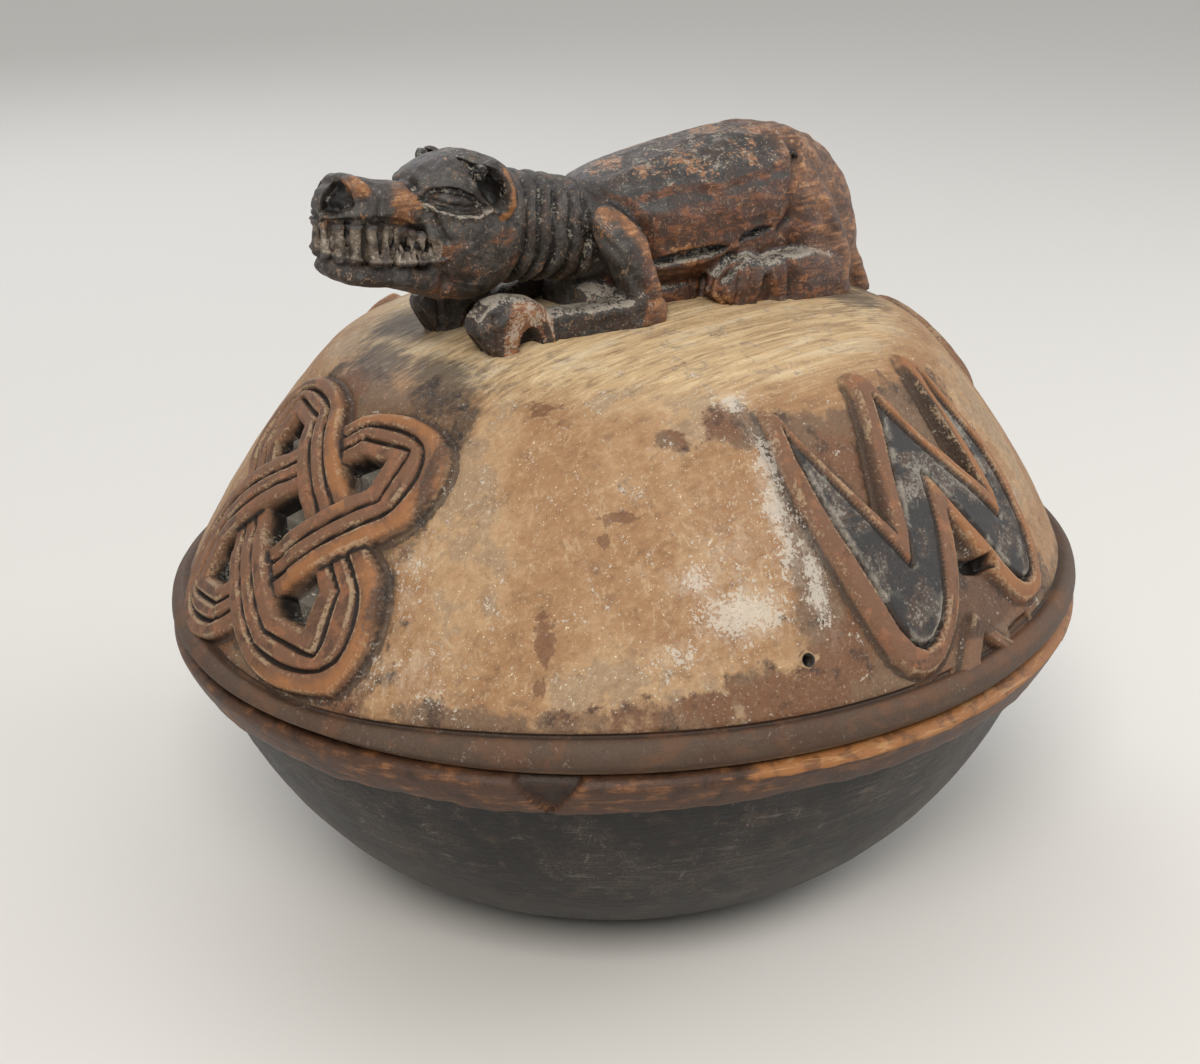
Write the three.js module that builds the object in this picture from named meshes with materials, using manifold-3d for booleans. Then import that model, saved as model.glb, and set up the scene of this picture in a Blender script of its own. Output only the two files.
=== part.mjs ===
// A lidded divination box carved from two pieces of wood: an oval bowl, and a domed lid with an animal lying on it.
// Millimetres. X runs along the animal with its head toward -X, Z is up, and the origin is the middle of the foot.
import * as THREE from "three";
import { mergeVertices } from "three/addons/utils/BufferGeometryUtils.js";
import Module from "manifold-3d";

const wasm = await Module();
wasm.setup();

// The oval body
const RIM_LENGTH = 324;
const RIM_WIDTH = 298;
const BOWL_DEPTH = 98;
const FOOT_LENGTH = 116;
const BOWL_SHOULDER = 12;
const BOWL_WALL = 12;
const LIP_HEIGHT = 14;
const LIP_TAPER = 6;
const EDGE_CHAMFER = 1.5;

// The seat: a collar inside the bowl's lip stands up into a rebate in the lid
const SEAT_GAP = 0.3;
const COLLAR_SETBACK = 10;
const COLLAR_RISE = 8;
const COLLAR_THICKNESS = 6;
const COLLAR_CLEARANCE = 0.8;

// The lid
const LID_RISE = 100;
const LID_WALL = 12;
const BAND_HEIGHT = 9;
const BAND_UNDERCUT = 4;
const GROOVE_DEPTH = 2.2;
const GROOVE_WIDTH = 3;
const FLANK_FOOT_INSET = 7;
const SHOULDER_RADIUS = 107;
const SHOULDER_RISE = 82;
const PEEPHOLE_DIAMETER = 4.2;

// The woven knot in relief, once under the head and once behind the rump
const KNOT_AZIMUTH = 175.5;
const KNOT_FOOT_RISE = -5.9;
const KNOT_LENGTH = 116;
const KNOT_LOOP_WIDTH = 54;
const RIBBON_WIDTH = 19;
const RIBBON_HEIGHT = 3.4;
const RIBBON_FLUTE = 1.3;
const RIBBON_WEAVE = 1.5;
const PIT_SIZE = 17;
const PIT_DEPTH = 5;
const STUD_SIZE = 11;
const STUD_HEIGHT = 4.5;

// The zigzag in relief, once on each flank
const ZIGZAG_AZIMUTH = 278;
const ZIGZAG_HALF_WIDTH = 49;
const ZIGZAG_HEIGHT = 98;
const ZIGZAG_LOBE_RADIUS = 17;
const ZIGZAG_BORDER = 5.5;
const ZIGZAG_RELIEF = 2.2;
const ZIGZAG_PANEL_DROP = 1.6;
const ZIGZAG_RECESS = 3;
const RECESS_OVERLAP = 1.5;
const RIM_PEAK_WIDTH = 34;
const RIM_PEAK_HEIGHT = 14;
const RIM_PEAK_STRAP = 6;

// The animal
const ANIMAL_TURN = -6;
const BODY_LENGTH = 105;
const BODY_WIDTH = 52;
const BODY_HEIGHT = 51;
const NECK_LENGTH = 32;
const NECK_WIDTH = 32;
const NECK_RINGS = 5;
const NECK_RING_RISE = 1.1;
const NECK_OVERLAP = 6;
const SKULL_LENGTH = 38;
const HEAD_WIDTH = 39;
const HEAD_HEIGHT = 42;
const MUZZLE_LENGTH = 32;
const MUZZLE_WIDTH = 25;
const MUZZLE_HEIGHT = 29;
const MOUTH_HEIGHT = 10;
const TEETH_PER_SIDE = 7;
const TOOTH_DEPTH = 0.16;
const NOSTRIL_SIZE = 10;
const EAR_HEIGHT = 24;
const EYE_LENGTH = 16;
const FOREARM_LENGTH = 47;
const SHANK_LENGTH = 38;
const LEG_HEIGHT = 10.5;
const PAW_LENGTH = 26;
const LEFT_PAW_SPREAD = 19.6;
const RIGHT_PAW_SPREAD = 14.4;
const PAW_WIDTH = 15;
const PAW_HEIGHT = 17;
const TAIL_WIDTH = 10;

// How finely round shapes are divided
const OVAL_SEGMENTS = 56;
const LOFT_SIDES = 12;
const LIMB_SIDES = 8;
const DIVISION = 20;
const EMBED = 3;

const loopArm = (KNOT_LOOP_WIDTH - RIBBON_WIDTH) / 2;
const loopStraight = (KNOT_LENGTH - RIBBON_WIDTH) / 2 - loopArm;
const knotRise = KNOT_FOOT_RISE + loopStraight * Math.SQRT1_2 + KNOT_LOOP_WIDTH / 2;
const WIDTH_RATIO = RIM_WIDTH / RIM_LENGTH;
const RIM_RADIUS = RIM_LENGTH / 2;
const SPLIT_Z = BOWL_DEPTH + SEAT_GAP;
const CROWN_Z = BOWL_DEPTH + LID_RISE;
const point2 = (x, y) => new THREE.Vector2(x, y);
const point3 = (x, y, z) => new THREE.Vector3(x, y, z);

// A solid from a closed geometry, turned the right way out
function solid(geometry) {
  const bare = geometry.clone();
  bare.deleteAttribute("normal");
  bare.deleteAttribute("uv");
  const merged = mergeVertices(bare, 1e-4);
  const build = (triangles) =>
    new wasm.Manifold(
      new wasm.Mesh({
        numProp: 3,
        vertProperties: new Float32Array(merged.attributes.position.array),
        triVerts: triangles,
      }),
    );
  const made = build(new Uint32Array(merged.index.array));
  if (made.volume() > 0) return made;
  const flipped = new Uint32Array(merged.index.array);
  for (let i = 0; i < flipped.length; i += 3) {
    [flipped[i + 1], flipped[i + 2]] = [flipped[i + 2], flipped[i + 1]];
  }
  return build(flipped);
}

// The geometry of a solid, ready for a mesh
function geometryOf(body) {
  const mesh = body.getMesh();
  const positions = new Float32Array(mesh.numVert * 3);
  for (let i = 0; i < mesh.numVert; i++) {
    const start = i * mesh.numProp;
    positions.set(mesh.vertProperties.subarray(start, start + 3), i * 3);
  }
  const geometry = new THREE.BufferGeometry();
  geometry.setAttribute("position", new THREE.BufferAttribute(positions, 3));
  geometry.setIndex(new THREE.BufferAttribute(mesh.triVerts, 1));
  geometry.computeVertexNormals();
  return geometry;
}

// A profile of radius and height turned round the Z axis and narrowed to the oval
function ovalLathe(profile) {
  const geometry = new THREE.LatheGeometry(profile, OVAL_SEGMENTS);
  geometry.rotateX(Math.PI / 2);
  geometry.scale(1, WIDTH_RATIO, 1);
  return solid(geometry);
}

// The points of a profile curve moved inward, square to the curve
function inset(curve, distance, count) {
  return Array.from({ length: count + 1 }, (_, i) => {
    const share = i / count;
    const along = curve.getTangent(share);
    return curve.getPoint(share).add(point2(-along.y, along.x).multiplyScalar(distance));
  });
}

// A closed skin over rings of points; each ring has the same number of points
function skin(rings, closed) {
  const count = rings[0].length;
  const positions = rings.flat().flatMap((p) => [p.x, p.y, p.z]);
  const triangles = [];
  const spans = closed ? rings.length : rings.length - 1;
  for (let i = 0; i < spans; i++) {
    const here = i * count;
    const next = ((i + 1) % rings.length) * count;
    for (let j = 0; j < count; j++) {
      const k = (j + 1) % count;
      triangles.push(here + j, here + k, next + k, here + j, next + k, next + j);
    }
  }
  if (!closed) {
    const last = (rings.length - 1) * count;
    for (let j = 1; j < count - 1; j++) {
      triangles.push(0, j + 1, j);
      triangles.push(last, last + j, last + j + 1);
    }
  }
  const geometry = new THREE.BufferGeometry();
  geometry.setAttribute("position", new THREE.Float32BufferAttribute(positions, 3));
  geometry.setIndex(triangles);
  return solid(geometry);
}

// A rounded limb through stations {at, wide, high, square}, its rings square to the line through the stations
function loft(stations, sides = LOFT_SIDES) {
  const whole = stations.at(-1).at.clone().sub(stations[0].at).normalize();
  const lean = Math.abs(whole.z) > 0.6 ? point3(1, 0, 0) : point3(0, 0, 1);
  const rings = stations.map((station, i) => {
    const before = stations[Math.max(i - 1, 0)].at;
    const after = stations[Math.min(i + 1, stations.length - 1)].at;
    const along = after.clone().sub(before).normalize();
    const side = along.clone().cross(lean).normalize();
    const up = side.clone().cross(along);
    const power = 2 / (station.square ?? 2);
    return Array.from({ length: sides }, (_, j) => {
      const angle = (j / sides) * 2 * Math.PI;
      const across = Math.sign(Math.cos(angle)) * Math.abs(Math.cos(angle)) ** power;
      const rise = Math.sign(Math.sin(angle)) * Math.abs(Math.sin(angle)) ** power;
      return station.at
        .clone()
        .addScaledVector(side, across * station.wide)
        .addScaledVector(up, rise * station.high);
    });
  });
  return skin(rings, false);
}

// The bowl: round wall, flat foot, projecting lip and the collar that the lid sits over
const shoulderRadius = RIM_RADIUS - BOWL_SHOULDER;
const bowlWall = new THREE.CubicBezierCurve(
  point2(FOOT_LENGTH / 2, 0),
  point2(FOOT_LENGTH / 2 + 47, 4),
  point2(shoulderRadius - 15, BOWL_DEPTH * 0.41),
  point2(shoulderRadius, BOWL_DEPTH - LIP_HEIGHT - 2),
);
const collarRadius = RIM_RADIUS - COLLAR_SETBACK;
const collarTop = BOWL_DEPTH + COLLAR_RISE;

function makeBowl() {
  const hollow = inset(bowlWall, BOWL_WALL, 6).filter((p) => p.y < BOWL_DEPTH);
  const profile = [
    point2(0, 0),
    ...bowlWall.getPoints(8),
    point2(RIM_RADIUS - LIP_TAPER, BOWL_DEPTH - LIP_HEIGHT),
    point2(RIM_RADIUS, BOWL_DEPTH - LIP_HEIGHT * 0.25),
    point2(RIM_RADIUS - EDGE_CHAMFER, BOWL_DEPTH),
    point2(collarRadius, BOWL_DEPTH),
    point2(collarRadius, collarTop - EDGE_CHAMFER),
    point2(collarRadius - EDGE_CHAMFER, collarTop),
    point2(collarRadius - COLLAR_THICKNESS, collarTop),
    ...hollow.reverse(),
    point2(0, BOWL_WALL),
  ];
  return ovalLathe(profile);
}

// The lid's outer curve from the foot of its flank over the shoulder to the crown
const flankFoot = point2(RIM_RADIUS - FLANK_FOOT_INSET, SPLIT_Z + BAND_HEIGHT + GROOVE_WIDTH);
const shoulder = point2(SHOULDER_RADIUS, BOWL_DEPTH + SHOULDER_RISE);
const dome = new THREE.CurvePath();
dome.add(
  new THREE.CubicBezierCurve(
    flankFoot,
    point2(flankFoot.x - 10, flankFoot.y + LID_RISE * 0.22),
    point2(shoulder.x + 19, shoulder.y - LID_RISE * 0.2),
    shoulder,
  ),
);
dome.add(
  new THREE.CubicBezierCurve(
    shoulder,
    point2(shoulder.x - 12, shoulder.y + LID_RISE * 0.126),
    point2(shoulder.x * 0.5, CROWN_Z),
    point2(0, CROWN_Z),
  ),
);
const domeLength = dome.getLength();

// A point of the lid: round the oval by along, up the flank by rise and out from it by lift
function onLid(azimuth, along, rise, lift) {
  const share = THREE.MathUtils.clamp(rise / domeLength, 0, 1);
  const below = Math.min(rise, 0);
  const spot = dome.getPoint(share);
  const slope = dome.getTangent(share);
  spot.addScaledVector(slope, below).add(point2(slope.y, -slope.x).multiplyScalar(lift));
  const turn = THREE.MathUtils.degToRad(azimuth) + along / (spot.x * (1 + WIDTH_RATIO) * 0.5);
  return point3(spot.x * Math.cos(turn), spot.x * WIDTH_RATIO * Math.sin(turn), spot.y);
}

function makeLidShell() {
  const bandTop = SPLIT_Z + BAND_HEIGHT;
  const grooveRadius = flankFoot.x - GROOVE_DEPTH;
  const rebateTop = collarTop + COLLAR_CLEARANCE;
  const hollow = inset(dome, LID_WALL, 6).filter((p) => p.y > rebateTop && p.x > 0);
  const profile = [
    point2(collarRadius + COLLAR_CLEARANCE, SPLIT_Z),
    point2(RIM_RADIUS - BAND_UNDERCUT, SPLIT_Z),
    point2(RIM_RADIUS, SPLIT_Z + BAND_HEIGHT * 0.6),
    point2(RIM_RADIUS - EDGE_CHAMFER, bandTop),
    point2(grooveRadius, bandTop + GROOVE_WIDTH * 0.4),
    ...dome.getPoints(5),
    point2(0, CROWN_Z - LID_WALL),
    ...hollow.reverse(),
    point2(hollow.at(-1).x, rebateTop),
    point2(collarRadius + COLLAR_CLEARANCE, rebateTop),
    point2(collarRadius + COLLAR_CLEARANCE, SPLIT_Z),
  ];
  return ovalLathe(profile);
}

// An outline in along and rise, raised from lower to upper and bent onto the lid; lower may follow the rise
function plateOnLid(azimuth, outline, lower, upper, holes = []) {
  const floorAt = typeof lower === "function" ? lower : () => lower;
  const shape = new THREE.Shape(outline);
  shape.holes = holes.map((hole) => new THREE.Path(hole));
  const geometry = new THREE.ExtrudeGeometry(shape, { depth: 1, bevelEnabled: false, steps: 1 });
  const position = geometry.attributes.position;
  for (let i = 0; i < position.count; i++) {
    const lift = position.getZ(i) > 0.5 ? upper : floorAt(position.getY(i));
    const spot = onLid(azimuth, position.getX(i), position.getY(i), lift);
    position.setXYZ(i, spot.x, spot.y, spot.z);
  }
  return solid(geometry);
}

// The points of a polygon with each long side divided, so that it can bend round the lid
function divided(corners, step) {
  return corners.flatMap((corner, i) => {
    const next = corners[(i + 1) % corners.length];
    const parts = Math.max(1, Math.round(corner.distanceTo(next) / step));
    return Array.from({ length: parts }, (_, j) => corner.clone().lerp(next, j / parts));
  });
}

// One loop of the knot: a band with three strands that rises and dips where it crosses the other loop
function knotLoop(azimuth, direction) {
  const half = RIBBON_WIDTH / 2;
  const strand = RIBBON_WIDTH / 3;
  const crest = RIBBON_HEIGHT;
  const flute = RIBBON_HEIGHT - RIBBON_FLUTE;
  const section = [
    [-half, -EMBED],
    [half, -EMBED],
    [half, crest],
    [strand / 2 + 0.9, crest],
    [strand / 2, flute],
    [strand / 2 - 0.9, crest],
    [-strand / 2 + 0.9, crest],
    [-strand / 2, flute],
    [-strand / 2 - 0.9, crest],
    [-half, crest],
  ];
  const stops = [];
  const armStops = 4;
  const endStops = 6;
  for (const side of [1, -1]) {
    for (let i = 0; i < armStops; i++) {
      const run = side * loopStraight * (1 - (2 * i) / armStops);
      stops.push({ run, off: side * loopArm, nx: 0, ny: side });
    }
    for (let i = 0; i < endStops; i++) {
      const angle = Math.PI / 2 + (i / endStops) * Math.PI;
      const [c, s] = [Math.cos(angle) * side, Math.sin(angle) * side];
      stops.push({ run: -side * loopStraight + loopArm * c, off: loopArm * s, nx: c, ny: s });
    }
  }
  const [ux, uy] = [Math.SQRT1_2, direction * Math.SQRT1_2];
  const rings = stops.map(({ run, off, nx, ny }) => {
    const weave = Math.abs(run) < 2 * loopArm ? Math.sin((Math.PI * run) / (2 * loopArm)) : 0;
    const lift = -RIBBON_WEAVE * weave * Math.sign(off);
    return section.map(([out, height]) => {
      const along = run + nx * out;
      const across = off + ny * out;
      const top = height < 0 ? height : height + lift;
      return onLid(azimuth, along * ux - across * uy, knotRise + along * uy + across * ux, top);
    });
  });
  return skin(rings, true);
}

// The five open places of the knot, where a faceted stud stands in each pit
function knotPlaces() {
  const lobe = KNOT_LENGTH / 2 - RIBBON_WIDTH - PIT_SIZE * 0.55;
  const diagonal = lobe * Math.SQRT1_2;
  const places = [[0, 0]];
  for (const along of [-diagonal, diagonal]) {
    for (const rise of [-diagonal, diagonal]) places.push([along, rise]);
  }
  return places;
}

function diamond(along, rise, size) {
  const half = size / 2;
  return [
    point2(along - half, rise),
    point2(along, rise - half),
    point2(along + half, rise),
    point2(along, rise + half),
  ];
}

// A stud with four facets, its base at the floor of the pit
function stud(azimuth, along, rise) {
  const base = diamond(along, rise, STUD_SIZE);
  const foot = base.map((p) => onLid(azimuth, p.x, p.y, -PIT_DEPTH - 1));
  const knee = base.map((p) => onLid(azimuth, p.x, p.y, -PIT_DEPTH + 0.5));
  const tip = diamond(along, rise, 1.5).map((p) => onLid(azimuth, p.x, p.y, STUD_HEIGHT - PIT_DEPTH));
  return skin([foot, knee, tip], false);
}

function addKnot(lid, azimuth) {
  let carved = lid;
  for (const [along, rise] of knotPlaces()) {
    const outline = diamond(along, knotRise + rise, PIT_SIZE);
    carved = carved.subtract(plateOnLid(azimuth, outline, -PIT_DEPTH, EMBED));
    carved = carved.add(stud(azimuth, along, knotRise + rise));
  }
  return carved.add(knotLoop(azimuth, 1)).add(knotLoop(azimuth, -1));
}

// The zigzag's outline: sharp at its three upper tips and two valleys, round at its two lower lobes
function zigzagOutline() {
  const valley = ZIGZAG_HEIGHT * 0.44;
  const lobeAlong = ZIGZAG_HALF_WIDTH * 0.59;
  const lobeRise = ZIGZAG_LOBE_RADIUS;
  const lobe = (side) =>
    Array.from({ length: 6 }, (_, i) => {
      const angle = Math.PI + (i / 5) * Math.PI;
      const along = side * lobeAlong + ZIGZAG_LOBE_RADIUS * Math.cos(angle);
      return point2(along, lobeRise + ZIGZAG_LOBE_RADIUS * Math.sin(angle));
    });
  return [
    point2(-ZIGZAG_HALF_WIDTH * 0.9, ZIGZAG_HEIGHT * 0.93),
    point2(-ZIGZAG_HALF_WIDTH, ZIGZAG_HEIGHT * 0.52),
    ...lobe(-1),
    point2(0, valley),
    ...lobe(1),
    point2(ZIGZAG_HALF_WIDTH, ZIGZAG_HEIGHT * 0.52),
    point2(ZIGZAG_HALF_WIDTH * 0.9, ZIGZAG_HEIGHT * 0.93),
    point2(ZIGZAG_HALF_WIDTH * 0.54, valley),
    point2(0, ZIGZAG_HEIGHT),
    point2(-ZIGZAG_HALF_WIDTH * 0.54, valley),
  ];
}

// A polygon drawn inward by a width; at a sharp tip the corner moves at most a few widths
function drawnIn(corners, width) {
  const mostMiter = 2.6;
  return corners.map((corner, i) => {
    const before = corners[(i + corners.length - 1) % corners.length];
    const after = corners[(i + 1) % corners.length];
    const into = corner.clone().sub(before).normalize();
    const away = after.clone().sub(corner).normalize();
    const normal = point2(-into.y - away.y, into.x + away.x).normalize();
    const stretch = Math.min(mostMiter, 1 / Math.max(0.1, normal.dot(point2(-away.y, away.x))));
    return corner.clone().addScaledVector(normal, width * stretch);
  });
}

function addZigzag(lid, azimuth) {
  const outline = zigzagOutline();
  const border = divided(outline, DIVISION);
  const opening = divided(drawnIn(outline, ZIGZAG_BORDER), DIVISION);
  const panelEdge = divided(drawnIn(outline, ZIGZAG_BORDER * 0.5), DIVISION);
  const corner = (i) => outline.at(i);
  const spaces = [
    [corner(-3), corner(-2), point2(ZIGZAG_HALF_WIDTH * 0.55, ZIGZAG_HEIGHT * 0.94), corner(-4)],
    [corner(-1), corner(0), point2(-ZIGZAG_HALF_WIDTH * 0.55, ZIGZAG_HEIGHT * 0.94), corner(-2)],
    [corner(8), point2(9, ZIGZAG_HEIGHT * 0.24), point2(-9, ZIGZAG_HEIGHT * 0.24)],
  ];
  const fade = (rise) => {
    const share = (ZIGZAG_HEIGHT * 0.94 - rise) / (ZIGZAG_HEIGHT * 0.3);
    return 0.6 - (ZIGZAG_RECESS + 0.6) * THREE.MathUtils.clamp(share, 0, 1);
  };
  let carved = lid;
  for (const space of spaces) {
    const widened = divided(drawnIn(space, RECESS_OVERLAP), DIVISION);
    carved = carved.subtract(plateOnLid(azimuth, widened, fade, EMBED));
  }
  const ribbon = plateOnLid(azimuth, border, -EMBED - 2, ZIGZAG_RELIEF, [opening]);
  const panel = plateOnLid(azimuth, panelEdge, -EMBED - 1, ZIGZAG_RELIEF - ZIGZAG_PANEL_DROP);
  return carved.add(ribbon).add(panel).add(rimPeak(azimuth));
}

// The strap that rises from the rim to a peak between the zigzag's two lobes
function rimPeak(azimuth) {
  const half = RIM_PEAK_WIDTH / 2;
  const outline = [
    point2(-half, -1),
    point2(-half + RIM_PEAK_STRAP, -1),
    point2(0, RIM_PEAK_HEIGHT - RIM_PEAK_STRAP),
    point2(half - RIM_PEAK_STRAP, -1),
    point2(half, -1),
    point2(0, RIM_PEAK_HEIGHT),
  ];
  return plateOnLid(azimuth, outline, -EMBED, ZIGZAG_RELIEF);
}

// Places along the animal, in its own frame: x toward the rump, z up from the crown of the lid
const chestX = -BODY_LENGTH * 0.3;
const hipX = chestX + BODY_LENGTH * 0.86;
const neckBackX = chestX + NECK_OVERLAP;
const neckFrontX = neckBackX - NECK_LENGTH;
const skullBackX = neckFrontX + NECK_OVERLAP;
const skullFrontX = skullBackX - SKULL_LENGTH;
const muzzleTipX = skullFrontX + NECK_OVERLAP - MUZZLE_LENGTH;
const headZ = BODY_HEIGHT * 0.67;
const legY = BODY_WIDTH / 2 - 2;

// One ring of a body or limb, with its middle, half width, half height and squareness
const ringAt = (x, y, z, wide, high, square = 2) => ({ at: point3(x, y, z), wide, high, square });

function trunk() {
  const half = BODY_WIDTH / 2;
  const top = BODY_HEIGHT;
  const station = (share, breadth, high, low) => {
    const middle = ((high + low) / 2) * top;
    const x = chestX + share * BODY_LENGTH;
    return ringAt(x, 0, middle, half * breadth, ((high - low) / 2) * top, 2.4);
  };
  return loft([
    station(0, 0.62, 0.8, 0.22),
    station(0.1, 0.88, 0.86, 0.14),
    station(0.25, 0.98, 0.9, 0.1),
    station(0.5, 1, 0.96, 0.08),
    station(0.75, 1, 1, 0.04),
    station(0.88, 0.94, 0.95, -0.08),
    station(0.97, 0.78, 0.8, -0.16),
    station(1.04, 0.6, 0.52, -0.24),
    station(1.09, 0.46, 0.2, -0.3),
  ]);
}

// The web of wood left under the belly, which joins the body to the lid
function bellyWeb() {
  const height = BODY_HEIGHT * 0.4;
  const web = new THREE.BoxGeometry(BODY_LENGTH * 0.72, BODY_WIDTH * 0.55, height);
  web.translate(chestX + BODY_LENGTH * 0.5, 0, 0);
  return solid(web);
}

// The neck with its raised rings
function neck() {
  const count = NECK_RINGS * 2 + 1;
  const stations = Array.from({ length: count }, (_, i) => {
    const share = i / (count - 1);
    const wide = NECK_WIDTH / 2 + (i % 2 === 1 ? NECK_RING_RISE : -NECK_RING_RISE / 2);
    const x = neckFrontX + share * NECK_LENGTH;
    return ringAt(x, 0, headZ * (0.85 - share * 0.09), wide, wide, 2.2);
  });
  return loft(stations, LOFT_SIDES);
}

function head() {
  const station = (share, breadth, lift) => {
    const wide = (HEAD_WIDTH / 2) * breadth;
    const high = (HEAD_HEIGHT / 2) * breadth;
    return ringAt(skullBackX - share * SKULL_LENGTH, 0, headZ + lift, wide, high, 2.2);
  };
  return loft([
    station(0, 0.72, -1),
    station(0.13, 0.94, 0),
    station(0.37, 1, 0.5),
    station(0.66, 0.95, 0),
    station(0.87, 0.8, -1),
    station(1.05, 0.62, -1),
  ]);
}

// The muzzle's rings, which rise toward the nose, at full size or drawn in for the teeth's core
function muzzleStations(scale) {
  const half = (MUZZLE_WIDTH / 2) * scale;
  const tall = (MUZZLE_HEIGHT / 2) * scale;
  const station = (share, rise, breadth, height) => {
    const x = muzzleTipX + (1 - share) * MUZZLE_LENGTH;
    return ringAt(x, 0, headZ + rise, half * breadth, tall * height, 2.8);
  };
  return [
    station(0, -2.7, 1.05, 1.07),
    station(0.3, -1.2, 0.98, 1),
    station(0.6, 2.3, 0.94, 0.93),
    station(0.86, 5.3, 0.9, 0.93),
    station(1, 5.3, 0.62, 0.72),
  ];
}

// The muzzle with its bared teeth: the lips are cut back all round and the teeth are left standing
function muzzle() {
  const mouthZ = headZ - 5;
  const mouthSlope = 0.14;
  const throughX = MUZZLE_WIDTH * 2;
  const slab = new THREE.BoxGeometry(MUZZLE_LENGTH, throughX, MOUTH_HEIGHT);
  slab.rotateY(mouthSlope);
  slab.translate(muzzleTipX + MUZZLE_LENGTH * 0.4, 0, mouthZ + MOUTH_HEIGHT * 0.6);
  let recess = solid(slab).subtract(loft(muzzleStations(1 - TOOTH_DEPTH)));
  const pitch = (MUZZLE_LENGTH * 0.75) / TEETH_PER_SIDE;
  for (let i = 0; i < TEETH_PER_SIDE; i++) {
    const tooth = new THREE.BoxGeometry(pitch * 0.62, throughX, MOUTH_HEIGHT * 2);
    tooth.translate(muzzleTipX + pitch * (1.45 + i), 0, mouthZ);
    recess = recess.subtract(solid(tooth));
  }
  const frontTooth = new THREE.BoxGeometry(MUZZLE_LENGTH * 0.4, MUZZLE_WIDTH * 0.2, MOUTH_HEIGHT * 2);
  frontTooth.translate(muzzleTipX, 0, mouthZ);
  recess = recess.subtract(solid(frontTooth));
  let made = loft(muzzleStations(1)).subtract(recess);
  for (const side of [-1, 1]) {
    const nostril = new THREE.CylinderGeometry(NOSTRIL_SIZE / 2, 1, NOSTRIL_SIZE, 3);
    nostril.rotateX((side * Math.PI) / 2);
    nostril.translate(muzzleTipX + NOSTRIL_SIZE * 0.7, (side * MUZZLE_WIDTH) / 2, headZ + MUZZLE_HEIGHT * 0.38);
    made = made.subtract(solid(nostril));
  }
  return made;
}

// An upright ear, hollow on its front
function ear(side) {
  const leaf = new THREE.SphereGeometry(EAR_HEIGHT / 2, 8, 6);
  leaf.scale(0.5, 0.42, 1);
  const scoop = new THREE.SphereGeometry(EAR_HEIGHT * 0.4, 8, 6);
  scoop.scale(0.44, 0.38, 1);
  scoop.translate(-EAR_HEIGHT * 0.15, side * EAR_HEIGHT * 0.07, 0);
  const x = skullBackX - SKULL_LENGTH * 0.32;
  const place = new THREE.Matrix4().makeTranslation(x, side * HEAD_WIDTH * 0.43, headZ + HEAD_HEIGHT * 0.15);
  leaf.applyMatrix4(place);
  scoop.applyMatrix4(place);
  return solid(leaf).subtract(solid(scoop));
}

function eye(side) {
  const ball = new THREE.SphereGeometry(EYE_LENGTH / 2, 8, 6);
  ball.scale(1, 0.38, 0.55);
  ball.rotateZ(side * 0.3);
  ball.translate(skullBackX - SKULL_LENGTH * 0.68, side * HEAD_WIDTH * 0.44, headZ + HEAD_HEIGHT * 0.19);
  return solid(ball);
}

// A foreleg: upper arm down from the shoulder, forearm laid forward along the lid, and the arched paw
function foreleg(side) {
  const elbowX = chestX + BODY_LENGTH * 0.2;
  const wristX = elbowX - FOREARM_LENGTH;
  const spread = side < 0 ? LEFT_PAW_SPREAD : RIGHT_PAW_SPREAD;
  const out = (share) => side * legY * share;
  const upper = loft(
    [
      ringAt(elbowX - 14, out(0.7), BODY_HEIGHT * 0.67, 8, 10),
      ringAt(elbowX - 9, out(0.92), BODY_HEIGHT * 0.43, 8, 9.5),
      ringAt(elbowX - 6, out(1.04), BODY_HEIGHT * 0.16, 7, 8),
      ringAt(elbowX - 5, out(1.08), -BODY_HEIGHT * 0.2, 6, 7),
    ],
    LIMB_SIDES,
  );
  const forearm = loft(
    [
      ringAt(elbowX, out(1.08), 0, 6, LEG_HEIGHT - 0.5, 4),
      ringAt(elbowX - FOREARM_LENGTH * 0.45, (out(1) + side * spread) / 2, 1, 6.5, LEG_HEIGHT, 4),
      ringAt(wristX, side * spread, 0, 6, LEG_HEIGHT + 0.5, 4),
    ],
    LIMB_SIDES,
  );
  return upper.add(forearm).add(paw(point3(wristX - PAW_LENGTH * 0.2, side * spread, -4)));
}

// A paw like a round-topped block with an arched hollow in its side
function paw(place) {
  const arch = new THREE.Shape();
  const half = PAW_LENGTH / 2;
  const foot = -PAW_HEIGHT / 2;
  arch.moveTo(-half, foot);
  arch.lineTo(-half, PAW_HEIGHT * 0.35);
  arch.quadraticCurveTo(-half, PAW_HEIGHT, 0, PAW_HEIGHT);
  arch.quadraticCurveTo(half, PAW_HEIGHT, half, PAW_HEIGHT * 0.35);
  arch.lineTo(half, foot);
  const block = new THREE.ExtrudeGeometry(arch, { depth: PAW_WIDTH, bevelEnabled: false, curveSegments: 3 });
  block.rotateX(Math.PI / 2);
  block.translate(place.x, place.y + PAW_WIDTH / 2, place.z);
  const reach = PAW_WIDTH * 3;
  const hollow = new THREE.CylinderGeometry(PAW_HEIGHT * 0.35, PAW_HEIGHT * 0.35, reach, 3);
  hollow.translate(place.x + PAW_LENGTH * 0.12, place.y, place.z + PAW_HEIGHT * 0.2);
  const core = new THREE.BoxGeometry(PAW_LENGTH, PAW_WIDTH * 0.66, reach);
  core.translate(place.x, place.y, place.z);
  return solid(block).subtract(solid(hollow).subtract(solid(core)));
}

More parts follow.
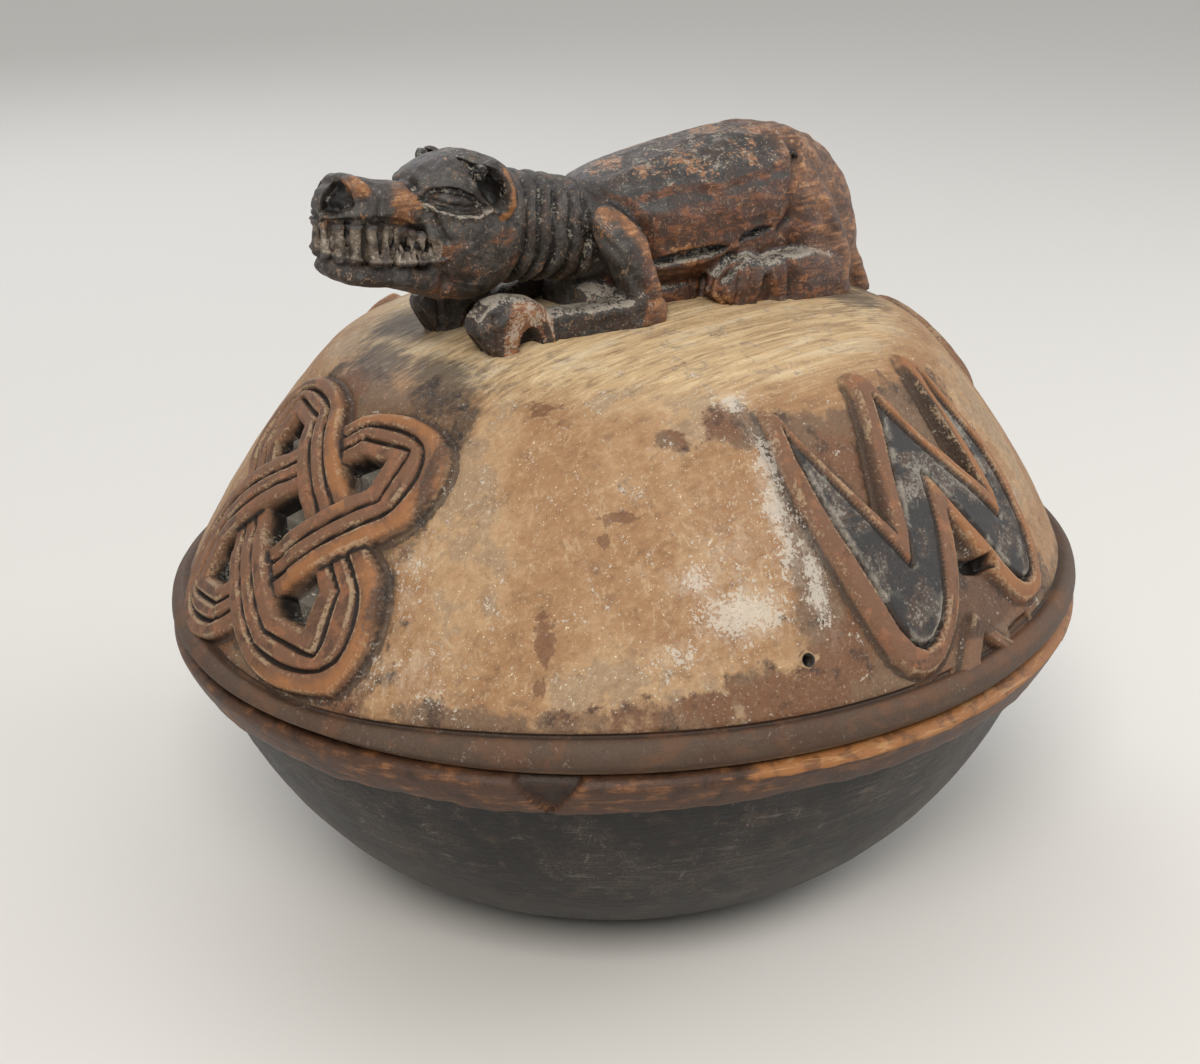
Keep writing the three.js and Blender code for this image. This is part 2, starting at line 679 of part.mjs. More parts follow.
// A hind leg folded under: thigh down the hip, shank laid forward and the paw
function hindleg(side) {
  const heelX = hipX + BODY_LENGTH * 0.15;
  const toeX = heelX - SHANK_LENGTH;
  const out = (share) => side * legY * share;
  const thigh = loft(
    [
      ringAt(hipX - 7, out(0.62), BODY_HEIGHT * 0.69, 11, 13),
      ringAt(hipX + 1, out(0.84), BODY_HEIGHT * 0.45, 8.5, 13),
      ringAt(hipX + 7, out(0.96), BODY_HEIGHT * 0.18, 7, 11),
      ringAt(hipX + 11, out(1), -BODY_HEIGHT * 0.24, 6, 9),
    ],
    LIMB_SIDES,
  );
  const shank = loft(
    [
      ringAt(heelX, out(1), -3, 6, LEG_HEIGHT - 0.5, 3.4),
      ringAt(heelX - SHANK_LENGTH * 0.5, out(1.04), 1.5, 7, LEG_HEIGHT, 3.4),
      ringAt(toeX, out(1.04), 2, 6.5, LEG_HEIGHT - 0.5, 3.4),
    ],
    LIMB_SIDES,
  );
  return thigh.add(shank).add(paw(point3(toeX - PAW_LENGTH * 0.38, out(1.04), -3)));
}

// The tail, laid down the rump from the end of the back
function tail() {
  const half = TAIL_WIDTH / 2;
  return loft(
    [
      ringAt(hipX + 7, 0, BODY_HEIGHT * 0.82, half * 0.8, half * 0.8),
      ringAt(hipX + 18, -2, BODY_HEIGHT * 0.59, half, half),
      ringAt(hipX + 25, -4, BODY_HEIGHT * 0.2, half, half),
      ringAt(hipX + 29, -6, -BODY_HEIGHT * 0.27, half * 0.8, half * 0.9),
    ],
    LIMB_SIDES,
  );
}

function makeAnimal() {
  const parts = [bellyWeb(), neck(), head(), muzzle(), tail()];
  for (const side of [-1, 1]) {
    parts.push(ear(side), eye(side), foreleg(side), hindleg(side));
  }
  const whole = parts.reduce((sum, part) => sum.add(part), trunk());
  const place = new THREE.Matrix4()
    .makeRotationZ(THREE.MathUtils.degToRad(ANIMAL_TURN))
    .setPosition(0, 0, CROWN_Z);
  return solid(geometryOf(whole).applyMatrix4(place));
}

function makeLid() {
  let lid = makeLidShell();
  for (const half of [0, 180]) {
    lid = addKnot(lid, KNOT_AZIMUTH + half);
    lid = addZigzag(lid, ZIGZAG_AZIMUTH + half);
  }
  lid = lid.add(makeAnimal());
  const peephole = new THREE.CylinderGeometry(PEEPHOLE_DIAMETER / 2, PEEPHOLE_DIAMETER / 2, LID_WALL * 4, 12);
  const outside = onLid(ZIGZAG_AZIMUTH, -ZIGZAG_HALF_WIDTH - 20, 15, 1);
  const inward = onLid(ZIGZAG_AZIMUTH, -ZIGZAG_HALF_WIDTH - 20, 15, -1).sub(outside).normalize();
  const aim = new THREE.Quaternion().setFromUnitVectors(point3(0, 1, 0), inward);
  peephole.applyQuaternion(aim).translate(outside.x, outside.y, outside.z);
  return lid.subtract(solid(peephole));
}

function named(name, body, color, roughness) {
  const material = new THREE.MeshStandardMaterial({ color, roughness, metalness: 0 });
  const mesh = new THREE.Mesh(geometryOf(body), material);
  mesh.name = name;
  return mesh;
}

const box = new THREE.Group();
box.add(named("bowl", makeBowl(), 0x1d1b19, 0.62));
box.add(named("lid", makeLid(), 0xa97f4f, 0.7));

export default box;
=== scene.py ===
"""Looks of a lidded divination box carved from two pieces of wood.

The bowl is turned by eye from one block and blackened.  The lid is a second block: a hollow dome with a woven
knot and a zigzag left standing in relief, a cut groove round its rim, and an animal lying on top, all of the
same piece of wood.  Sizes in the code are millimetres on the object; meshes are written in metres.
"""

import logging
import math
from dataclasses import dataclass, field
from enum import Enum

import bmesh
import bpy
import numpy as np
from mathutils import Matrix, Vector


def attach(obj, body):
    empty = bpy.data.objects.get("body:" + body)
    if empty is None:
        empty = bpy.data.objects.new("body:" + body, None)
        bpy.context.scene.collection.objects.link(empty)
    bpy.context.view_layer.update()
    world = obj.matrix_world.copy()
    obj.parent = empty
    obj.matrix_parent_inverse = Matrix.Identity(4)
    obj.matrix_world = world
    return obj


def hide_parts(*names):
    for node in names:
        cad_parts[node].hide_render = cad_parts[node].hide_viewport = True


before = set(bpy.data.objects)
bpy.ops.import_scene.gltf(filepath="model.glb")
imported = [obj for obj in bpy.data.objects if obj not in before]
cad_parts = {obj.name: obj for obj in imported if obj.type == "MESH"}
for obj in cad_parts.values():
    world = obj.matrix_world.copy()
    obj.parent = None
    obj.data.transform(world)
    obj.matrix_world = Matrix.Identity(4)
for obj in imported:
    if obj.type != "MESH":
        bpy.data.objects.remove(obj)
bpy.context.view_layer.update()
LOG = logging.getLogger("divination_box")
MM = 0.001
# A point this close to a drawn one, in millimetres, is that point
TOUCH = 0.02
# The animal's two sides: the near one faces -Y, as the camera sees it
NEAR, FAR = -1, 1


class Body(Enum):
    """The two pieces of wood that move apart."""

    BOWL = "bowl"
    LID = "lid"


class Slot(Enum):
    """The record's material slots."""

    BLACKENED = "blackened_wood"
    WORN_TAN = "worn_tan_wood"


# Small helpers for numbers on the surface

Outline = list[tuple[float, float]]


def smooth(low: float, high: float, value: np.ndarray) -> np.ndarray:
    """Eases from 0 to 1 as a value goes from low to high.

    Args:
        low: The value that gives 0.
        high: The value that gives 1; it may be the smaller of the two.
        value: The values to ease.

    Returns:
        The eased values.
    """
    share = np.clip((value - low) / (high - low), 0.0, 1.0)
    return share * share * (3.0 - 2.0 * share)


def ripple(x: np.ndarray, y: np.ndarray, z: np.ndarray, wave: float, seed: float) -> np.ndarray:
    """Soft irregular waves, the same for every piece at the same place.

    Args:
        x: Places along X in millimetres.
        y: Places along Y in millimetres.
        z: Places along Z in millimetres.
        wave: The rough length of a wave in millimetres.
        seed: A number that picks the pattern.

    Returns:
        Heights between about -1 and 1.
    """
    k = 2.0 * math.pi / wave
    total = np.zeros_like(x)
    for i, (a, b, c) in enumerate(((1.0, 0.3, 0.5), (-0.4, 1.1, 0.2), (0.3, -0.5, 1.2), (0.9, 0.8, -0.6))):
        bend = np.sin(k * 0.53 * (c * x - a * y + b * z) + seed * 1.7 + i)
        total += np.sin(k * (a * x + b * y + c * z) + 1.3 * bend + seed * (i + 1))
    return total / 4.0


def polygon_distance(s: np.ndarray, t: np.ndarray, corners: Outline) -> np.ndarray:
    """Distance from points to a polygon's edge, negative inside.

    Args:
        s: First coordinates of the points.
        t: Second coordinates of the points.
        corners: The polygon's corners in order.

    Returns:
        The signed distances.
    """
    best = np.full(s.shape, 1e9)
    inside = np.zeros(s.shape, bool)
    for (ax, ay), (bx, by) in zip(corners, corners[1:] + corners[:1]):
        ex, ey = bx - ax, by - ay
        share = np.clip(((s - ax) * ex + (t - ay) * ey) / (ex * ex + ey * ey), 0.0, 1.0)
        best = np.minimum(best, np.hypot(s - ax - share * ex, t - ay - share * ey))
        if ay != by:
            crosses = (ay > t) != (by > t)
            inside ^= crosses & (s < ax + (t - ay) * ex / ey)
    return np.where(inside, -best, best)


def rounded(corners: Outline, rounds: int = 1) -> Outline:
    """Cuts every corner of a polygon, so that it turns softly.

    Args:
        corners: The polygon's corners in order.
        rounds: How many times the corners are cut.

    Returns:
        The softened polygon.
    """
    for _ in range(rounds):
        soft = []
        for (ax, ay), (bx, by) in zip(corners, corners[1:] + corners[:1]):
            soft.append((ax * 0.75 + bx * 0.25, ay * 0.75 + by * 0.25))
            soft.append((ax * 0.25 + bx * 0.75, ay * 0.25 + by * 0.75))
        corners = soft
    return corners


def blurred(values: np.ndarray, reach: int) -> np.ndarray:
    """A regular field of heights, averaged over its neighbours twice.

    Args:
        values: The field, rows by columns.
        reach: How many cells the average takes in on each side.

    Returns:
        The averaged field.
    """
    for _ in range(2):
        for axis in (0, 1):
            padded = np.moveaxis(np.pad(values, reach, mode="edge"), axis, 0)
            running = np.cumsum(np.concatenate([np.zeros_like(padded[:1]), padded]), axis=0)
            span = 2 * reach + 1
            values = np.moveaxis((running[span:] - running[:-span]) / span, 0, axis)
            cut = [slice(None), slice(None)]
            cut[1 - axis] = slice(reach, -reach)
            values = values[tuple(cut)]
    return values


# Meshes


def coordinates(mesh: bpy.types.Mesh) -> np.ndarray:
    """The vertices of a mesh as an array of rows of x, y and z.

    Args:
        mesh: The mesh.

    Returns:
        The array.
    """
    flat = np.empty(len(mesh.vertices) * 3)
    mesh.vertices.foreach_get("co", flat)
    return flat.reshape(-1, 3)


def move_to(mesh: bpy.types.Mesh, places: np.ndarray) -> None:
    """Moves every vertex of a mesh to a new place."""
    mesh.vertices.foreach_set("co", places.astype(np.float32).ravel())
    mesh.update()


def paint(mesh: bpy.types.Mesh, name: str, values: np.ndarray) -> None:
    """Stores one number between 0 and 1 for each vertex, which a finish reads by name."""
    layer = mesh.attributes.get(name) or mesh.attributes.new(name, "FLOAT", "POINT")
    layer.data.foreach_set("value", np.clip(values, 0.0, 1.0).astype(np.float32))


def piece(name: str, bm: bmesh.types.BMesh) -> bpy.types.Object:
    """Makes an object of a finished bmesh.

    Args:
        name: The object's name.
        bm: The bmesh, which is freed.

    Returns:
        The object, at the origin.
    """
    mesh = bpy.data.meshes.new(name)
    bm.to_mesh(mesh)
    bm.free()
    made = bpy.data.objects.new(name, mesh)
    bpy.context.scene.collection.objects.link(made)
    return made


def face_outward(mesh: bpy.types.Mesh) -> None:
    """Turns the faces of a closed mesh outward and shades them smoothly.

    Args:
        mesh: The mesh.
    """
    bm = bmesh.new()
    bm.from_mesh(mesh)
    bmesh.ops.recalc_face_normals(bm, faces=bm.faces[:])
    bm.to_mesh(mesh)
    bm.free()
    mesh.shade_smooth()


def turned(profile: Outline, steps: int) -> bmesh.types.BMesh:
    """Spins a profile of radius and height round the Z axis.

    Args:
        profile: Points of radius and height, in order.
        steps: How many steps a full turn takes.

    Returns:
        The closed round shape.
    """
    bm = bmesh.new()
    verts = [bm.verts.new((radius, 0.0, height)) for radius, height in profile]
    edges = [bm.edges.new(pair) for pair in zip(verts, verts[1:])]
    bmesh.ops.spin(
        bm, geom=verts + edges, cent=(0, 0, 0), axis=(0, 0, 1), angle=2 * math.pi, steps=steps, use_merge=True
    )
    bmesh.ops.remove_doubles(bm, verts=bm.verts[:], dist=1e-4)
    return bm


def softened(points: Outline, step: float) -> Outline:
    """Divides a profile evenly, keeping its corners.

    Args:
        points: Points of radius and height.
        step: The longest stretch left undivided, in millimetres.

    Returns:
        The divided profile.
    """
    fine = [points[0]]
    for (ax, ay), (bx, by) in zip(points, points[1:]):
        parts = max(1, math.ceil(math.hypot(bx - ax, by - ay) / step))
        fine += [(ax + (bx - ax) * i / parts, ay + (by - ay) * i / parts) for i in range(1, parts + 1)]
    return fine


# The form of the box


@dataclass(frozen=True)
class Form:
    """Overall sizes of the box."""

    rim_length: float = 324.0
    rim_width: float = 298.0
    bowl_depth: float = 98.0
    lid_rise: float = 100.0
    seat_gap: float = 0.3
    band_height: float = 9.0
    groove_width: float = 3.0
    flank_foot_inset: float = 7.0
    shoulder_radius: float = 107.0
    shoulder_rise: float = 82.0

    @property
    def ratio(self) -> float:
        """Width of the oval over its length."""
        return self.rim_width / self.rim_length

    @property
    def split(self) -> float:
        """Height of the lid's underside."""
        return self.bowl_depth + self.seat_gap

    @property
    def crown(self) -> float:
        """Height of the lid's top, under the animal."""
        return self.bowl_depth + self.lid_rise

    def waver(self, places: np.ndarray) -> np.ndarray:
        """Moves places a little in and out, as work by eye leaves them.

        Args:
            places: Rows of x, y and z in millimetres.

        Returns:
            The moved places.
        """
        x, y, z = places.T
        out = 0.55 * ripple(x, y, z, 210.0, 2.0) + 0.22 * ripple(x, y, z, 61.0, 5.0)
        round_ = np.hypot(x, y) + 1e-6
        fade = np.minimum(1.0, round_ / 60.0) * smooth(0.0, 8.0, z)
        rise = 0.5 * ripple(x, y, 0.0 * z, 240.0, 9.0) * smooth(20.0, 80.0, z)
        return np.stack([x + x / round_ * out * fade, y + y / round_ * out * fade, z + rise], axis=1)


def bezier(points: Outline, count: int) -> np.ndarray:
    """Points along a cubic curve.

    Args:
        points: The four points of the curve.
        count: How many points to give.

    Returns:
        Rows of radius and height.
    """
    a, b, c, d = (np.array(p) for p in points)
    u = np.linspace(0.0, 1.0, count)[:, None]
    return (1 - u) ** 3 * a + 3 * (1 - u) ** 2 * u * b + 3 * (1 - u) * u**2 * c + u**3 * d


class Dome:
    """The lid's outer curve, from the foot of its flank to the crown, and places on it."""

    def __init__(self, form: Form) -> None:
        """Works out the curve from the form's sizes.

        Args:
            form: The box's overall sizes.
        """
        self.form = form
        foot = (form.rim_length / 2 - form.flank_foot_inset, form.split + form.band_height + form.groove_width)
        knee = (form.shoulder_radius, form.bowl_depth + form.shoulder_rise)
        rise = form.lid_rise
        flank = [foot, (foot[0] - 10, foot[1] + rise * 0.22), (knee[0] + 19, knee[1] - rise * 0.2), knee]
        top = [knee, (knee[0] - 12, knee[1] + rise * 0.126), (knee[0] * 0.5, form.crown), (0.0, form.crown)]
        self.line = np.concatenate([bezier(flank, 400), bezier(top, 400)[1:]])
        steps = np.hypot(*np.diff(self.line, axis=0).T)
        self.arc = np.concatenate([[0.0], np.cumsum(steps)])
        slope = np.gradient(self.line, axis=0)
        self.slope = slope / np.linalg.norm(slope, axis=1, keepdims=True)

    def place(self, azimuth: float, along: np.ndarray, rise: np.ndarray, lift: np.ndarray) -> np.ndarray:
        """Places on the lid.

        Args:
            azimuth: The direction of the carving's middle, in degrees round the oval.
            along: Distance round the oval from that middle.
            rise: Distance up the flank from its foot.
            lift: Distance out from the surface.

        Returns:
            Rows of x, y and z in millimetres.
        """
        at = np.clip(rise, 0.0, self.arc[-1])
        radius, height, run, climb = (
            np.interp(at, self.arc, column) for column in (*self.line.T, *self.slope.T)
        )
        below = np.minimum(rise, 0.0)
        radius = radius + run * below + climb * lift
        height = height + climb * below - run * lift
        turn = math.radians(azimuth) + along / (radius * (1 + self.form.ratio) * 0.5)
        return np.stack([radius * np.cos(turn), radius * self.form.ratio * np.sin(turn), height], axis=1)


# Relief carving


@dataclass
class Relief:
    """A carving in relief: a field of heights over a stretch of the lid, bent onto the dome."""

    name: str
    azimuth: float
    half_width: float
    half_height: float
    middle_rise: float
    turn: float = 0.0
    cell: float = 0.5
    rebate_clear_top: float = 107.4
    rebate_clear_radius: float = 153.4
    margin: float = 3.4
    rim_fade: float = 0.9
    depth: float = 7.5

    def outline(self, s: np.ndarray, t: np.ndarray) -> np.ndarray:
        """Distance outside the carving's outline, negative inside it."""
        raise NotImplementedError

    def ground(self, s: np.ndarray, t: np.ndarray, out: np.ndarray) -> np.ndarray:
        """How far the ground beside the carving was cut down."""
        raise NotImplementedError

    def carve(self, s: np.ndarray, t: np.ndarray) -> tuple[np.ndarray, dict[str, np.ndarray]]:
        """Heights over the uncut dome, and the masks that the finish reads."""
        raise NotImplementedError

    def build(self, dome: Dome) -> bpy.types.Object:
        """Cuts the relief into a fine grid and bends it onto the dome.

        Args:
            dome: The surface that it stands on.

        Returns:
            The relief as a closed slab, its lower half buried in the dome.
        """
        wide = round(2 * self.half_width / self.cell)
        tall = round(2 * self.half_height / self.cell)
        bm = bmesh.new()
        bmesh.ops.create_grid(bm, x_segments=wide, y_segments=tall, size=1.0)
        bmesh.ops.scale(bm, vec=(self.half_width, self.half_height, 1.0), verts=bm.verts[:])
        flat = np.array([v.co[:2] for v in bm.verts])
        s, t = self.to_surface(flat[:, 0], flat[:, 1])
        outside = self.outline(s, t) > self.margin
        bmesh.ops.delete(bm, geom=[v for v, far in zip(bm.verts, outside) if far], context="VERTS")
        lifted = bmesh.ops.extrude_face_region(bm, geom=bm.faces[:])
        top = [g for g in lifted["geom"] if isinstance(g, bmesh.types.BMVert)]
        bmesh.ops.translate(bm, vec=(0, 0, 1), verts=top)
        made = piece(self.name, bm)
        mesh = made.data
        local = coordinates(mesh)
        s, t = self.to_surface(local[:, 0], local[:, 1])
        height, masks = self.carve(s, t)
        cavity, wear, edge = self.relief_of(local, height)
        rim = smooth(self.margin - self.rim_fade, self.margin, self.outline(s, t))
        height = height - 0.6 * rim
        is_top = local[:, 2] > 0.5
        lift = np.where(is_top, height, -self.depth)
        places = dome.place(self.azimuth, s, t + self.middle_rise, lift)
        move_to(mesh, self.clear_of_rebate(dome.form.waver(places), dome.form.ratio) * MM)
        # How hollow each place is; the finish paints the hollows dark, as dirt and as painted shade.
        masks["cavity"] = np.maximum(cavity, masks.get("cavity", 0.0)) * (1.0 - rim)
        masks["wear"] = wear * masks.pop("rubbed") * (1.0 - rim)
        masks["edge"] = edge * (1.0 - rim)
        for mask, values in masks.items():
            paint(mesh, mask, values)
        face_outward(mesh)
        return made

    def clear_of_rebate(self, places: np.ndarray, ratio: float) -> np.ndarray:
        """Moves the slab's underside out of the rebate, where the bowl's collar stands.

        Args:
            places: The slab's vertices in millimetres.
            ratio: The oval's width over its length.

        Returns:
            The vertices, none of them inside the rebate.
        """
        out = np.hypot(places[:, 0], places[:, 1] / ratio)
        inside = (places[:, 2] < self.rebate_clear_top) & (out < self.rebate_clear_radius)
        grow = np.where(inside, self.rebate_clear_radius / out, 1.0)
        return places * np.stack([grow, grow, np.ones_like(grow)], axis=1)

    def to_surface(self, u: np.ndarray, v: np.ndarray) -> tuple[np.ndarray, np.ndarray]:
        """Turns the grid's own directions into distances round and up the lid."""
        c, k = math.cos(math.radians(self.turn)), math.sin(math.radians(self.turn))
        return u * c - v * k, u * k + v * c

    def relief_of(self, local: np.ndarray, height: np.ndarray) -> tuple[np.ndarray, np.ndarray, np.ndarray]:
        """Finds hollows and proud edges in the field of heights.

        Args:
            local: Grid places before they were bent.
            height: The height at each of them.

        Returns:
            How hollow each place is, how proud, and how much it is a thin upper edge, from 0 to 1.
        """
        column = np.rint((local[:, 0] - local[:, 0].min()) / self.cell).astype(int)
        row = np.rint((local[:, 1] - local[:, 1].min()) / self.cell).astype(int)
        grid = np.zeros((row.max() + 1, column.max() + 1))
        grid[row, column] = height
        thin = blurred(grid, 1)[row, column]
        near = blurred(grid, 3)[row, column]
        broad = blurred(grid, 7)[row, column]
        hollow = np.clip((near - height) / 0.9, 0, 1) + np.clip((broad - height) / 3.0, 0, 1)
        proud = np.clip((height - broad) / 1.6, 0, 1)
        return np.clip(hollow, 0, 1), proud, np.clip((height - thin) / 0.13, 0, 1)


@dataclass
class Knot(Relief):
    """The woven knot: two long loops of three strands that cross at right angles, with studs in its five gaps."""

    half_width: float = 67.0
    half_height: float = 67.0
    middle_rise: float = 43.0
    turn: float = 45.0
    straight: float = 32.0
    arm: float = 17.75
    half_band: float = 9.1
    tip: float = 43.0
    relief: float = 3.1
    weave: float = 1.5
    pit: float = 6.2
    stud: float = 6.9
    stud_rise: float = 6.9
    stud_spacing: float = 32.8
    wall: float = 1.3
    groove_depth: float = 2.0
    groove_width: float = 0.72
    sway_round: tuple[float, ...] = (1.9, 2.2, -0.8, -0.6, 2.7, -2.5, -3.1, 1.3, 0.0, -2.0)
    sway_up: tuple[float, ...] = (-0.5, -2.2, 4.6, 0.8, 1.2, 2.0, 0.3, -3.1, 1.5, 0.6)

    def drawn(self, s: np.ndarray, t: np.ndarray) -> tuple[np.ndarray, np.ndarray]:
        """Takes places on the lid to the true pattern, which the carver drew by eye and so a little askew.

        Args:
            s: Distance round the lid from the knot's middle.
            t: Distance up the lid from the knot's middle.

        Returns:
            The two coordinates in the true pattern.
        """
        a, b = np.clip(s, -48, 48) / 40, np.clip(t, -48, 48) / 40
        powers = (1.0 + 0 * a, a, b, a * a, a * b, b * b, a**3, a * a * b, a * b * b, b**3)
        across = sum(k * power for k, power in zip(self.sway_round, powers))
        return s + across, t + sum(k * power for k, power in zip(self.sway_up, powers))

    def loops(self, s: np.ndarray, t: np.ndarray) -> list[tuple[np.ndarray, np.ndarray, np.ndarray]]:
        """Each loop's own directions, and the distance of each place from its middle line.

        Args:
            s: Distance round the lid from the knot's middle.
            t: Distance up the lid from the knot's middle.

        Returns:
            For each loop the distance along it, across it, and its soft-cornered distance.
        """
        s, t = self.drawn(s, t)
        found = []
        for direction in (1, -1):
            p = (s + direction * t) * math.sqrt(0.5)
            q = (t - direction * s) * math.sqrt(0.5)
            end = np.maximum(np.abs(p) - self.straight, 0.0)
            soft = np.hypot(end, q)
            offset = self.tip * math.sqrt(0.5) - (self.arm - self.half_band)
            pointed = np.maximum(np.abs(q), (np.abs(p) + np.abs(q)) * math.sqrt(0.5) - offset)
            share = smooth(self.arm - 2.0, self.arm + 7.0, soft)
            found.append((p, q, pointed * (1 - share) + soft * share))
        return found

    def outline(self, s: np.ndarray, t: np.ndarray) -> np.ndarray:
        """Distance outside the knot's outer strands, negative inside."""
        outer = self.arm + self.half_band
        return np.minimum(*(r - outer for _, _, r in self.loops(s, t)))

    def ground(self, s: np.ndarray, t: np.ndarray, out: np.ndarray) -> np.ndarray:
        """The shallow trough cut round the knot."""
        return -1.3 * np.exp(-((np.maximum(out, 0.0) / 6.0) ** 2))

    def carve(self, s: np.ndarray, t: np.ndarray) -> tuple[np.ndarray, dict[str, np.ndarray]]:
        """Strands over and under each other, the gaps between them and the studs.

        Args:
            s: Distance round the lid from the knot's middle.
            t: Distance up the lid from the knot's middle.

        Returns:
            Heights over the uncut dome, and the masks that the finish reads.
        """
        out = self.outline(s, t)
        floor = self.ground(s, t, out)
        loops = self.loops(s, t)
        gap = np.full(s.shape, 1e9)
        hole = np.zeros(s.shape, bool)
        inner, outer = self.arm - self.half_band, self.arm + self.half_band
        for _, _, r in loops:
            hole |= r < inner
            gap = np.minimum(gap, np.where(r < self.arm, inner - r, r - outer))
        gap = np.where(hole, gap, -1.0)
        pit = smooth(0.0, 1.7, gap) * (gap > 0)
        floor = floor * (1 - pit) - self.pit * pit
        studs = self.studs(s, t)
        floor = np.where(hole & (out < 0), np.maximum(floor, studs), floor)
        height = floor.copy()
        band = np.zeros_like(s)
        rubbed = np.zeros_like(s)
        strand = 2 * self.half_band / 3
        uneven = 0.22 * ripple(s, t, 0 * s, 23.0, 3.0) + 0.1 * ripple(s, t, 0 * s, 9.0, 6.0)
        for p, q, r in loops:
            off = r - self.arm + 0.22 * ripple(p, q, 0 * p, 31.0, 1.0)
            inside = smooth(self.half_band + self.wall - 0.2, self.half_band - 0.2, np.abs(off))
            wave = np.where(np.abs(p) < 2 * self.arm, np.sin(np.pi * p / (2 * self.arm)), 0.0)
            lift = -self.weave * np.sign(q) * np.sign(wave) * np.abs(wave) ** 0.6
            in_groove = np.abs(np.abs(off) - strand / 2)
            groove = np.clip(1.15 - in_groove / (1.35 * self.groove_width), 0.0, 1.0)
            side = self.half_band - np.abs(off)
            top = self.relief + lift - self.groove_depth * groove - 0.5 * np.exp(-np.maximum(side, 0) / 0.7)
            top += uneven - 0.25 * smooth(strand * 0.18, strand * 0.5, np.abs(in_groove - strand / 2))
            height = np.maximum(height, floor * (1 - inside) + top * inside)
            band = np.maximum(band, inside)
            rubbed = np.maximum(rubbed, inside * smooth(strand * 0.5, strand * 0.9, off))
        # The outer strands are painted more rubbed toward the right: wear, and painted light on the side that the light
        # falls on.
        right = smooth(-6.0, 16.0, s + 0.35 * t)
        deep = pit * (1 - band)
        masks = {
            "dark": smooth(-0.1, 0.8, gap) * (1 - band * 0.6) * (1 - smooth(-self.pit + 1.0, -self.pit + 2.6, studs)),
            "stud": smooth(-self.pit + 1.4, -self.pit + 3.0, studs) * deep,
            "ribbon": band,
            "rubbed": rubbed * (0.25 + 0.75 * right),
        }
        return height, masks

    def studs(self, s: np.ndarray, t: np.ndarray) -> np.ndarray:
        """The four-sided studs that stand in the gaps.

        Args:
            s: Distance round the lid from the knot's middle.
            t: Distance up the lid from the knot's middle.

        Returns:
            The height of the highest stud at each place.
        """
        s, t = self.drawn(s, t)
        p, q = (s + t) * math.sqrt(0.5), (t - s) * math.sqrt(0.5)
        best = np.full(s.shape, -99.0)
        far = self.stud_spacing
        for along, across in ((0, 0), (far, 0), (-far, 0), (0, far), (0, -far)):
            reach = np.maximum(np.abs(p - along), np.abs(q - across))
            best = np.maximum(best, -self.pit + self.stud_rise * (1 - reach / self.stud))
        return best


